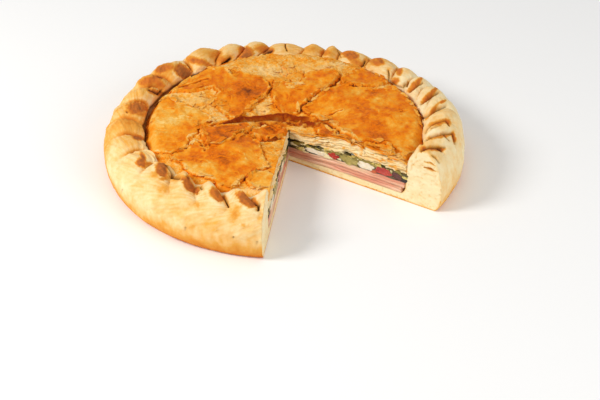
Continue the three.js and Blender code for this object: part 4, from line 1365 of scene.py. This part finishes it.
def lid_cells(cell):
    """A grid over the lid, finer at the slit, with its border drawn in to the cuts and
    the groove. Gives the points' places and the quads."""
    columns = np.arange(-GRID_REACH, GRID_REACH, cell * CELL_SHARE) + 0.1
    slit = [on_lid(*pixel)[1] for pixel in VENT_PATH]
    lines = [-GRID_REACH - 0.1]
    while lines[-1] < GRID_REACH:
        fine = bell(max(min(slit) - lines[-1], lines[-1] - max(slit), 0.0), 5.0)
        lines.append(lines[-1] + cell * float(blend(CELL_SHARE, FINE_SHARE, fine)))
    x, y = np.meshgrid(columns, np.array(lines))
    right, left = cut_distances(x, y)
    degrees, radius = unplace(x, y)
    inside = ((right > 0) | (left > 0)) & (radius < lid_edge(degrees))
    kept = inside[:-1, :-1] | inside[:-1, 1:] | inside[1:, 1:] | inside[1:, :-1]
    row, column = np.nonzero(kept)
    number = np.arange(x.size).reshape(x.shape)
    corners = ((0, 0), (0, 1), (1, 1), (1, 0))
    quads = np.stack([number[row + up, column + right] for up, right in corners], 1)
    wedge = (right <= 0) & (left <= 0)
    cx, cy = to_cut(x, y)
    x, y = np.where(wedge, cx, x), np.where(wedge, cy, y)
    degrees, radius = unplace(x, y)
    limit = lid_edge(degrees)
    px, py = place(degrees, np.minimum(radius, limit))
    x, y = np.where(radius > limit, px, x), np.where(radius > limit, py, y)
    used, quads = np.unique(quads, return_inverse=True)
    return x.ravel()[used], y.ravel()[used], quads.reshape(-1, 4)


def border(quads):
    """Edges of quads that only one quad has, as pairs in the quads' own direction."""
    edges = np.concatenate([quads[:, [k, (k + 1) % 4]] for k in range(4)])
    _, inverse, counts = np.unique(np.sort(edges, 1), axis=0, return_inverse=True, return_counts=True)
    return edges[counts[inverse.ravel()] == 1]


def build_lid(material, cell):
    """The lid's skin, closed below by its sides and the top of the filling."""
    x, y, quads = lid_cells(cell)
    z, marks = lid_surface(x, y)
    rows = Rows()
    rows.marks = {"tone": [], "gloss": [], "rust": []}
    rows.add(x, y, z, **marks)
    rows.faces.extend(quads.tolist())
    edges = border(quads)
    loop = np.unique(edges)
    spot = {int(v): k for k, v in enumerate(loop)}
    lx, ly, lz = x[loop], y[loop], z[loop]
    degrees, radius = unplace(lx, ly)
    right, left = cut_distances(lx, ly)
    # Under its top skin the lid steps back from the cuts, where separate leaves fill it.
    back = 5.0
    skin = 0.9
    on_right = np.abs(right) < 0.05
    on_left = (np.abs(left) < 0.05) & ~on_right
    ar, al = math.radians(CUT_RIGHT), math.radians(CUT_LEFT)
    dx = back * (on_right * -math.sin(ar) + on_left * math.sin(al))
    dy = back * (on_right * math.cos(ar) - on_left * math.cos(al))
    bottom = (FILLING_TOP + GAP) * settle(degrees, radius)
    tone = 0.35
    # Down the sides: the skin's lower edge, the step back, and the underside.
    levels = [
        rows.add(lx, ly, lz - skin, tone=0.5, gloss=0.2),
        rows.add(lx + dx, ly + dy, lz - skin - 0.3, tone=tone),
        rows.add(lx + dx, ly + dy, bottom, tone=tone),
    ]
    rings = [loop] + levels
    edges = [(spot[a], spot[b]) for a, b in edges]
    for a, b in edges:
        for upper, lower in zip(rings, rings[1:]):
            rows.faces.append([int(upper[a]), int(lower[a]), int(lower[b]), int(upper[b])])
    # The underside is a fan around one point behind the apex.
    away, behind = (CUT_RIGHT + CUT_LEFT) / 2, 14.0
    middle = int(rows.add(*place(away, behind), (FILLING_TOP + GAP) * settle(away, behind), tone=tone))
    rows.faces.extend([middle, int(levels[-1][b]), int(levels[-1][a])] for a, b in edges)
    return rows.piece("flaky_lid", material)


# ---- Leaves of pastry at the cuts ----

def build_leaves(material, count):
    """Thin wavy leaves between the lid's skin and the filling, along both cut faces."""
    rows = Rows()
    rows.marks = {"tone": []}
    stations = np.linspace(1.0, LID_RADIUS - 0.6, 300)
    # A leaf's outline: how far in, and from its upper side (1) to its lower side (-1).
    section = [
        (6.5, 1), (2.9, 1), (1.0, 1), (0.25, 0.8), (0.0, 0),
        (0.25, -0.8), (1.0, -1), (2.9, -1), (6.5, -1),
    ]
    for face, (degrees, outward) in enumerate(((CUT_RIGHT, -1), (CUT_LEFT, 1))):
        sx, sy = place(degrees, stations)
        top, _ = lid_surface(sx, sy)
        top = top - 1.0
        bottom = (FILLING_TOP + GAP) * settle(degrees, stations) + 0.2
        bottom = bottom - 0.6 * smooth(noise(stations / 6, face, 74), -0.3, 0.5)
        for leaf in range(count):
            seed = 100 + 20 * leaf + face
            share = (leaf + 0.5) / count
            wave = 0.09 * noise(stations / 17, leaf * 0.37 + face, 71)
            wave = wave + 0.05 * noise(stations / 6, leaf * 0.8, 72)
            share = np.clip(share + wave, 0.01, 0.99)
            height = blend(bottom, top, share)
            thick = (0.85 + 0.4 * noise(stations / 8, 0.5, seed)) * (top - bottom) / count
            edge = 2.1 * noise(stations / 9, 1.5, seed) + 1.3 * noise(stations / 3, 2.5, seed)
            edge = edge + 0.35 * noise(stations / 1.1, 4.5, seed)
            edge = edge + 0.9 * (1 - smooth(share, 0.0, 0.3)) + 0.3
            edge = np.maximum(edge, -0.5)
            toast = 0.06 + 0.13 * noise(stations / 7, 3.5, seed) + 0.34 * smooth(share, 0.84, 1.0)
            toast = toast + 0.25 * smooth(noise(stations / 5, 5.5, seed), 0.25, 0.7)
            made = []
            for inward, lift in section:
                depth = inward + (edge if inward < 3 else 0.0)
                x, y = place(degrees, stations, -outward * depth)
                z = height + lift * thick / 2 + 0.1 * noise(stations / 2.2, inward, seed + 5)
                made.append(rows.add(x, y, z, tone=toast + 0.1 * (inward < 0.5)))
            rows.grid(made + made[:1], flip=outward < 0)
            for end, turn in ((0, 1), (-1, -1)):
                rows.faces.append([int(row[end]) for row in made[:: turn * outward]])
    return rows.piece("pastry_leaves", material)


# ---- Loose flakes on the lid ----

def flake_sizes(seed, first, *ranges):
    """Half length, half width and lift of a flake, each from its least value and spread."""
    return [least + spread * chance(seed, first + k) for k, (least, spread) in enumerate(ranges)]


def flake_places():
    """Where thin flakes lie: along the sheets' edges, in the torn places and at the right
    cut. Each has its middle, the way it lifts, half length, half width and lift."""
    found = []
    # Along the sheets' edges.
    for number, sheet in enumerate(SHEETS.values()):
        outline = [on_lid(*pixel) for pixel in sheet["outline"]]
        sides = list(zip(outline, outline[1:] + outline[:1]))
        area = sum(ax * by - bx * ay for (ax, ay), (bx, by) in sides)
        for k, ((ax, ay), (bx, by)) in enumerate(sides):
            length = math.hypot(bx - ax, by - ay)
            way = math.atan2(by - ay, bx - ax) - math.copysign(math.pi / 2, area)
            for step in range(int(length / 4.5) + 1):
                seed = 1000 * number + 20 * k + step
                if chance(seed, 5) > 0.36:
                    continue
                share = float(chance(seed, 6))
                inward = 0.5 + 2.0 * float(chance(seed, 7))
                x = ax + (bx - ax) * share - inward * math.cos(way)
                y = ay + (by - ay) * share - inward * math.sin(way)
                turned = way + 0.9 * (float(chance(seed, 8)) - 0.5)
                sizes = flake_sizes(seed, 9, (1.6, 3.6), (0.8, 1.3), (0.25, 0.8))
                found.append((x, y, turned, *sizes))
    # In the torn places.
    for number, (cx, cy, long, short, turned, _) in enumerate(PALE_ZONES):
        for k in range(int(long * short / 9) + 3):
            seed = 30000 + 100 * number + k
            away, angle = math.sqrt(float(chance(seed, 1))), 6.283 * float(chance(seed, 2))
            c, s = math.cos(math.radians(turned)), math.sin(math.radians(turned))
            u, v = long * away * math.cos(angle), short * away * math.sin(angle)
            x, y = on_lid(cx + u * c - v * s, cy + u * s + v * c)
            way = 6.283 * float(chance(seed, 3))
            found.append((x, y, way, *flake_sizes(seed, 4, (1.2, 2.6), (0.7, 1.0), (0.15, 0.5))))
    # Along the right cut, where those farther out lift more.
    for k in range(34):
        seed = 50000 + k
        along = 9 + 2.75 * (k + float(chance(seed, 1)))
        inward = 0.4 + 2.2 * float(chance(seed, 2))
        x, y = place(CUT_RIGHT, along, inward)
        way = math.radians(CUT_RIGHT - 90) + 0.8 * (float(chance(seed, 3)) - 0.5)
        long, wide, lift = flake_sizes(seed, 4, (1.8, 3.2), (0.9, 1.2), (0.3, 0.9))
        found.append((x, y, way, long, wide, lift + 0.9 * (along > 45)))
    found = np.array(found, float)
    right, left = cut_distances(found[:, 0], found[:, 1])
    _, radius = unplace(found[:, 0], found[:, 1])
    return found[((right > 0.3) | (left > 3.0)) & (radius < 101)]


def build_flakes(material):
    """Thin torn flakes, each with a ragged outline, that lift along one side."""
    found = flake_places()
    rings = np.array([0.0, 0.4, 0.75, 0.92, 1.0])[None, :, None]
    turn = np.linspace(0, 2 * np.pi, 20, endpoint=False)[None, None, :]
    x0, y0, way, long, wide, lift = (column[:, None, None] for column in found.T)
    number = np.arange(len(found))[:, None, None] * 7.3
    ragged = 1 + 0.4 * noise(1.4 * np.cos(turn) + number, 1.4 * np.sin(turn), 75)
    ragged = ragged + 0.3 * noise(4 * np.cos(turn) + number, 4 * np.sin(turn), 76)
    u = long * rings * ragged * np.cos(turn)
    v = wide * rings * ragged * np.sin(turn)
    x = x0 + v * np.cos(way) - u * np.sin(way)
    y = y0 + v * np.sin(way) + u * np.cos(way)
    below, marks = lid_surface(x, y)
    root, _ = lid_surface(x0 - 0.6 * wide * np.cos(way), y0 - 0.6 * wide * np.sin(way))
    rise = lift * smooth(v / wide, -0.7, 1.4)
    z = np.maximum(below + 0.1, root + 0.25 + rise) + 0.1 * noise(x / 1.5, y / 1.5, 77)
    z = np.minimum(z, below + 1.7)
    tone = marks["tone"][:, :1, :1] + 0.1 * (chance(number, 12) - 0.5) - 0.13 * smooth(rings, 0.7, 1.0)
    tone = np.broadcast_to(np.clip(tone, 0.36, 0.72), z.shape)
    gloss, rust = marks["gloss"] * 0.7, marks["rust"] * 0.6
    rows = Rows()
    rows.marks = {"tone": [], "gloss": [], "rust": []}
    for k in range(len(found)):
        top, under = [], []
        for layer, drop in ((top, 0.0), (under, 0.2)):
            for ring in range(rings.size):
                at = (k, ring, slice(0, 1 if ring == 0 else None))
                look = {"tone": tone[at], "gloss": gloss[at], "rust": rust[at]}
                layer.append(rows.add(x[at], y[at], z[at] - drop, **look))
        for layer, flip in ((top, True), (under, False)):
            for inner, outer in zip(layer[1:], layer[2:]):
                ring_pair = np.append(outer, outer[0]), np.append(inner, inner[0])
                rows.grid(ring_pair[::-1] if flip else ring_pair)
            middle, ring = int(layer[0][0]), np.append(layer[1], layer[1][0])
            for a, b in zip(ring, ring[1:]):
                rows.faces.append([middle, int(b), int(a)] if flip else [middle, int(a), int(b)])
        rows.join(np.append(top[-1], top[-1][0]), np.append(under[-1], under[-1][0]))
    return rows.piece("lid_flakes", material)


# ---- Layers ----

def slab(material, name, bottom, top, levels, relief, outer, marks):
    """A layer through the tart, closed, with levels of points down its fine cut faces.
    bottom and top give its height, relief how far a cut face stands out, outer its radius."""
    rows = Rows()
    rows.marks = {key: [] for key in marks(0.0, 0.0, 0)}
    stations = np.concatenate([[0.0], np.linspace(0.6, outer, 240)])
    angles = np.linspace(CUT_RIGHT, CUT_LEFT, 40)
    shares = np.linspace(0, 1, levels + 2)

    def surface(height, share):
        made = []
        axis = rows.add(APEX_X, 0.0, height(CUT_RIGHT, 0.0), **marks(0.0, share, 0))
        for degrees in angles:
            x, y = place(degrees, stations[1:])
            column = rows.add(x, y, height(degrees, stations[1:]), **marks(stations[1:], share, 0))
            made.append(np.concatenate([[axis.ravel()[0]], column]))
        return made

    under, upper = surface(bottom, 0.0), surface(top, 1.0)
    rows.grid(under, flip=True)
    rows.grid(upper, flip=False)
    low, high = bottom(CUT_RIGHT, 0.0), top(CUT_RIGHT, 0.0)
    axis, sides = [], []
    for share in shares[1:-1]:
        axis.append(rows.add(APEX_X, 0.0, blend(low, high, share), **marks(0.0, share, 0)))
    for share in shares[1:-1]:
        height = blend(bottom(angles, outer), top(angles, outer), share)
        sides.append(rows.add(*place(angles, outer), height, **marks(outer, share, 0)))
    for face, (degrees, outward) in enumerate(((CUT_RIGHT, -1), (CUT_LEFT, 1))):
        end = 0 if outward < 0 else -1
        ladder = [under[end]]
        for k, share in enumerate(shares[1:-1]):
            inner = stations[1:-1]
            height = blend(bottom(degrees, inner), top(degrees, inner), share)
            stand = relief(inner, share, face)
            x, y = place(degrees, inner, outward * stand)
            made = rows.add(x, y, height, **marks(inner, share, 1 + face))
            ladder.append(np.concatenate([[axis[k].ravel()[0]], made, [sides[k][end]]]))
        ladder.append(upper[end])
        rows.grid(ladder, flip=outward > 0)
    under_rim, upper_rim = (np.array([column[-1] for column in layer]) for layer in (under, upper))
    rows.grid([under_rim, *sides, upper_rim])
    return rows.piece(name, material)


def build_ham(material):
    """The two slices of ham, each with its outer radius, uneven edge and darker seam."""
    base = FLOOR_TOP + GAP
    for number, (node, outer) in enumerate((("ham_lower", 100.9), ("ham_upper", 103.2))):
        low = base + number * (HAM_THICKNESS + GAP)

        def relief(distance, share, face, seed=number):
            seam = bell(share - 0.5 - 0.12 * noise(distance / 18, face, 80 + seed), 0.09)
            edge = 0.5 * noise(distance / 8, share * 1.2 + face, 82 + seed)
            edge = edge + 0.12 * noise(distance / 2.5, share * 2, 84)
            return edge - 0.8 * seam - 0.7 * bell(np.minimum(share, 1 - share), 0.08) + 0.1

        def marks(distance, share, face, seed=number):
            seam = bell(share - 0.5 - 0.12 * noise(distance / 18, face - 1, 80 + seed), 0.07)
            dark = 0.36 * seam * smooth(noise(distance / 9, seed, 86), -0.4, 0.5)
            # Painted shade near the apex on the right cut, and along the top and bottom of each slice where
            # it meets the next layer.
            deep = 0.5 * (1 - smooth(distance, 10, 60)) * (face == 1)
            return {"crease": dark + 0.2 * bell(np.minimum(share, 1 - share), 0.07) + 0.36 * deep}

        bottom, top = level(low), level(low + HAM_THICKNESS)
        piece = slab(material, f"{node}_slice", bottom, top, 11, relief, outer, marks)
        finish_piece(piece, "ham", node)


# ---- Filling ----

# Larger pieces at the cuts: node, cut, distance from the apex, height of the middle,
# size along the cut, into the tart and upwards, and slot.
PIECES = [
    ("pepper_red_inner", CUT_RIGHT, 40.5, 18.6, (8, 7, 5.4), "red_pepper"),
    ("cheese_inner", CUT_RIGHT, 25, 18.1, (14, 9, 3.6), "cheese"),
    ("artichoke_middle", CUT_RIGHT, 54, 18.4, (14, 10, 5.6), "artichoke"),
    ("cheese_middle", CUT_RIGHT, 69, 18.9, (12, 10, 5.2), "cheese"),
    ("pepper_red_outer", CUT_RIGHT, 84, 19, (13, 8, 5.2), "red_pepper"),
    ("pepper_roasted", CUT_RIGHT, 95.5, 19.3, (7.6, 7, 5), "roasted_pepper"),
    ("cheese_left_inner", CUT_LEFT, 36, 18.4, (14, 9, 5.2), "cheese"),
    ("pepper_left", CUT_LEFT, 53, 18.8, (10, 8, 5.4), "red_pepper"),
    ("artichoke_left", CUT_LEFT, 70, 18.8, (14, 10, 5.6), "artichoke"),
    ("cheese_left_outer", CUT_LEFT, 88, 19, (13, 9, 5.2), "cheese"),
]


# Rows of small lumps between them, from the lowest: height, least size, spread of sizes
# and how much longer than high.
LUMP_ROWS = [(16.9, 2.3, 2.0, 1.5), (19.4, 2.0, 2.0, 1.6), (20.9, 1.2, 1.2, 2.6), (22.0, 0.9, 0.9, 3.2)]
LUMPS_IN_ROW = 42
# The kinds of vegetable that the upper rows are drawn from.
UPPER_KINDS = (0.4, 0.05, 0.05, 0.6, 0.2, 0.4)


def ball(fineness):
    """Points and triangles of a round lump with unit radius."""
    work = bmesh.new()
    bmesh.ops.create_icosphere(work, subdivisions=fineness, radius=1.0)
    points = np.array([v.co[:] for v in work.verts])
    faces = np.array([[v.index for v in f.verts] for f in work.faces])
    work.free()
    return points, faces


def lump(shape, cut, at, up, size, seed, proud):
    """A lumpy piece in the filling, sliced flat a little outside the cut face."""
    points, faces = shape
    x, y, z = points.T
    squared = 1 / np.maximum(np.abs(x) ** 3 + np.abs(y) ** 3 + np.abs(z) ** 3, 0.2) ** (1 / 3)
    bumps = blend(1.0, squared, 0.8) + 0.42 * noise(1.7 * x + seed, 2 * y + 2.4 * z, seed)
    bumps = bumps + 0.2 * noise(4 * x, 4 * y + 4 * z, seed + 1)
    along = at + x * bumps * size[0] / 2
    behind = np.maximum(-y * bumps * size[1], -proud - 0.12 * noise(5 * x, 5 * z, seed + 2))
    height = (up + z * bumps * size[2] / 2) * settle(cut, max(at, 0.0))
    angle = math.radians(cut)
    outward = -1 if cut == CUT_RIGHT else 1
    side = -outward * behind
    px = APEX_X + along * math.cos(angle) - side * math.sin(angle)
    py = along * math.sin(angle) + side * math.cos(angle)
    return px, py, height, faces if outward > 0 else faces[:, ::-1]


def build_pieces():
    """The larger pieces of pepper, artichoke and cheese."""
    shape = ball(4)
    materials = {
        "cheese": moist("white_cheese", (0.98, 0.94, 0.86), (0.92, 0.83, 0.66), 0.45, 300.0),
        "red_pepper": moist("red_pepper", (0.66, 0.10, 0.06), (0.84, 0.24, 0.12), 0.22, 220.0, 0.6),
        "roasted_pepper": moist("roasted_pepper", (0.26, 0.08, 0.04), (0.45, 0.14, 0.08), 0.25, 240.0, 0.5),
        "artichoke": moist("artichoke", (0.58, 0.52, 0.22), (0.80, 0.72, 0.42), 0.35, 260.0, 0.2),
    }
    for seed, (name, cut, at, up, size, slot) in enumerate(PIECES):
        rows = Rows()
        x, y, z, faces = lump(shape, cut, at, up, size, 200 + 7 * seed, 0.55)
        rows.add(x, y, z, tone=0.12 * noise(x / 3, z / 2, 230))
        rows.faces.extend(faces.tolist())
        finish_piece(rows.piece(f"{name}_piece", materials[slot]), slot, name)


def build_filling(material):
    """The layer of vegetables, set back behind the small lumps that show at the cuts, and darkened with
    painted shade.
    """
    low = FLOOR_TOP + 2 * (HAM_THICKNESS + GAP) + GAP

    def relief(distance, share, face):
        return -2.2 + 0.9 * noise(distance / 3, share * 3 + face, 90)

    # The layer is darkened all over with painted shade, most in its upper quarter.
    def marks(distance, share, face):
        return {"kind": 0.4, "crease": 0.45 + 0.35 * (share > 0.75)}

    core = slab(material, "filling_core", level(low), level(FILLING_TOP), 5, relief, 103.4, marks)
    finish_piece(core, "vegetables", "vegetable_filling")
    # Chopped pieces that show at the cuts, between the larger ones.
    shape = ball(3)
    rows = Rows()
    rows.marks = {"kind": [], "crease": []}
    for face, cut in enumerate((CUT_RIGHT, CUT_LEFT)):
        for k in range(len(LUMP_ROWS) * LUMPS_IN_ROW):
            seed = 300 + 300 * face + k
            row = k // LUMPS_IN_ROW
            middle, least, spread, longer = LUMP_ROWS[row]
            at = 5 + 97 * (k % LUMPS_IN_ROW + 0.8 * chance(seed, 1)) / LUMPS_IN_ROW
            up = middle + 1.2 * (chance(seed, 2) - 0.5)
            size = least + spread * chance(seed, 3)
            # The two lower rows leave room for the larger pieces.
            if row < 2 and any(p[1] == cut and abs(p[2] - at) < p[4][0] / 2 - 0.6 for p in PIECES):
                continue
            stretch = (size * (longer + chance(seed, 4)), 2.2 + 1.5 * chance(seed, 5), min(size, 3.2))
            x, y, z, faces = lump(shape, cut, at, up, stretch, seed, 0.1 + 0.3 * chance(seed, 6))
            first = rows.count
            if row < 2:
                kind = chance(seed, 7)
            else:
                kind = UPPER_KINDS[int(len(UPPER_KINDS) * chance(seed, 8))]
            rows.add(x, y, z, kind=kind, crease=0.0)
            rows.faces.extend((faces + first).tolist())
    finish_piece(rows.piece("chopped_filling", material), "vegetables")


# ---- Stage ----

def add_light(name, location, aim, energy, size, colour):
    """A soft round lamp that points at a place."""
    data = bpy.data.lights.new(name, "AREA")
    data.energy = energy
    data.color = colour
    data.shape = "DISK"
    data.size = size
    light = bpy.data.objects.new(name, data)
    bpy.context.scene.collection.objects.link(light)
    light.location = location
    light.rotation_euler = (Vector(aim) - Vector(location)).to_track_quat("-Z", "Y").to_euler()


class StageSettings(bpy.types.PropertyGroup):
    """Light and floor."""

    floor_colour: colour_property("Floor", "Pale floor", (1.0, 1.0, 1.0))
    key_power: bpy.props.FloatProperty(
        name="Key light", description="Main soft light", default=11.9, unit="POWER"
    )
    fill_power: bpy.props.FloatProperty(
        name="Fill light", description="Light from the right", default=4.6, unit="POWER"
    )
    sky: bpy.props.FloatProperty(
        name="Sky", description="Strength of the light from all round", default=0.5
    )


def build_stage(settings):
    """The photograph's camera, a soft sky, two lamps and a pale floor."""
    scene = bpy.context.scene
    tilt = math.radians(CAMERA_ELEVATION)
    target = Vector((CAMERA_TARGET[0], CAMERA_TARGET[1], 0)) * MM
    data = bpy.data.cameras.new("camera")
    data.sensor_width = SENSOR_WIDTH
    data.lens = FOCAL_PIXELS / PHOTO_SIZE[0] * SENSOR_WIDTH
    data.clip_start, data.clip_end = 0.01, 20
    camera = bpy.data.objects.new("camera", data)
    camera.location = target + Vector((0, -math.cos(tilt), math.sin(tilt))) * CAMERA_DISTANCE * MM
    camera.rotation_euler = (math.pi / 2 - tilt, 0, 0)
    scene.collection.objects.link(camera)
    scene.camera = camera
    scene.view_settings.view_transform = "Standard"
    world = bpy.data.worlds.new("soft_sky")
    world.use_nodes = True
    world.node_tree.nodes["Background"].inputs["Color"].default_value = (1, 1, 1, 1)
    world.node_tree.nodes["Background"].inputs["Strength"].default_value = settings.sky
    scene.world = world
    add_light("key", (-1.0, -0.38, 0.92), (0, 0, 0.02), settings.key_power, 0.55, (1, 0.98, 0.94))
    add_light("fill", (0.95, -0.75, 0.7), (0, 0, 0.02), settings.fill_power, 0.9, (1, 0.99, 0.97))
    floor = bpy.data.meshes.new("floor")
    half = 3.0
    corners = [(-half, -half, 0), (half, -half, 0), (half, half, 0), (-half, half, 0)]
    floor.from_pydata(corners, [], [[0, 1, 2, 3]])
    material, _, shader, _ = new_material("pale_floor")
    shader.inputs["Base Color"].default_value = linear(settings.floor_colour)
    shader.inputs["Roughness"].default_value = 0.8
    floor.materials.append(material)
    made = bpy.data.objects.new("floor", floor)
    scene.collection.objects.link(made)


# ---- Operators ----

class TART_OT_crust(bpy.types.Operator):
    """Add the crust: floor, wall and roped rim"""
    bl_idname = "tart.crust"
    bl_label = "Roped crust"

    def execute(self, context):
        made = build_crust(wall_pastry(), context.scene.tart.rim_columns)
        finish_piece(made, "shell_pastry", "crust_shell")
        return {"FINISHED"}


class TART_OT_lid(bpy.types.Operator):
    """Add the glazed, torn lid"""
    bl_idname = "tart.lid"
    bl_label = "Flaky lid"

    def execute(self, context):
        made = build_lid(lid_pastry(), context.scene.tart.cell / MM)
        finish_piece(made, "lid_pastry", "top_crust")
        return {"FINISHED"}


class TART_OT_leaves(bpy.types.Operator):
    """Add the leaves of pastry that show at the cuts"""
    bl_idname = "tart.leaves"
    bl_label = "Pastry leaves"

    def execute(self, context):
        made = build_leaves(leaf_pastry(), context.scene.tart.leaf_count)
        finish_piece(made, "lid_pastry")
        return {"FINISHED"}


class TART_OT_flakes(bpy.types.Operator):
    """Add the loose flakes on the lid"""
    bl_idname = "tart.flakes"
    bl_label = "Loose flakes"

    def execute(self, context):
        finish_piece(build_flakes(lid_pastry()), "lid_pastry")
        return {"FINISHED"}


class TART_OT_ham(bpy.types.Operator):
    """Add the two slices of ham"""
    bl_idname = "tart.ham"
    bl_label = "Ham"

    def execute(self, context):
        build_ham(ham_material())
        return {"FINISHED"}


class TART_OT_filling(bpy.types.Operator):
    """Add the chopped vegetables and the larger pieces that show at the cuts"""
    bl_idname = "tart.filling"
    bl_label = "Filling"

    def execute(self, context):
        build_filling(vegetable_material())
        build_pieces()
        return {"FINISHED"}


class TART_OT_stage(bpy.types.Operator):
    """Add the floor, the soft light and the camera"""
    bl_idname = "tart.stage"
    bl_label = "Stage"

    def execute(self, context):
        build_stage(context.scene.tart_stage)
        return {"FINISHED"}


OPERATORS = (
    TART_OT_stage, TART_OT_crust, TART_OT_lid, TART_OT_leaves, TART_OT_flakes, TART_OT_ham, TART_OT_filling,
)


class TART_PT_panel(bpy.types.Panel):
    """Lists the tart's pieces and settings"""
    bl_label = "Tart"
    bl_space_type = "VIEW_3D"
    bl_region_type = "UI"
    bl_category = "Tart"

    def draw(self, context):
        for operator in OPERATORS:
            self.layout.operator(operator.bl_idname)
        for group in (context.scene.tart, context.scene.tart_stage):
            for name in group.__annotations__:
                self.layout.prop(group, name)


CLASSES = (TartSettings, StageSettings, *OPERATORS, TART_PT_panel)


def register():
    for cls in CLASSES:
        bpy.utils.register_class(cls)
    bpy.types.Scene.tart = bpy.props.PointerProperty(type=TartSettings)
    bpy.types.Scene.tart_stage = bpy.props.PointerProperty(type=StageSettings)


def unregister():
    del bpy.types.Scene.tart
    del bpy.types.Scene.tart_stage
    for cls in reversed(CLASSES):
        bpy.utils.unregister_class(cls)


def main():
    """Makes the stage and every piece."""
    register()
    for operator in OPERATORS:
        getattr(bpy.ops.tart, operator.bl_idname.split(".")[1])()


if __name__ == "__main__":
    main()
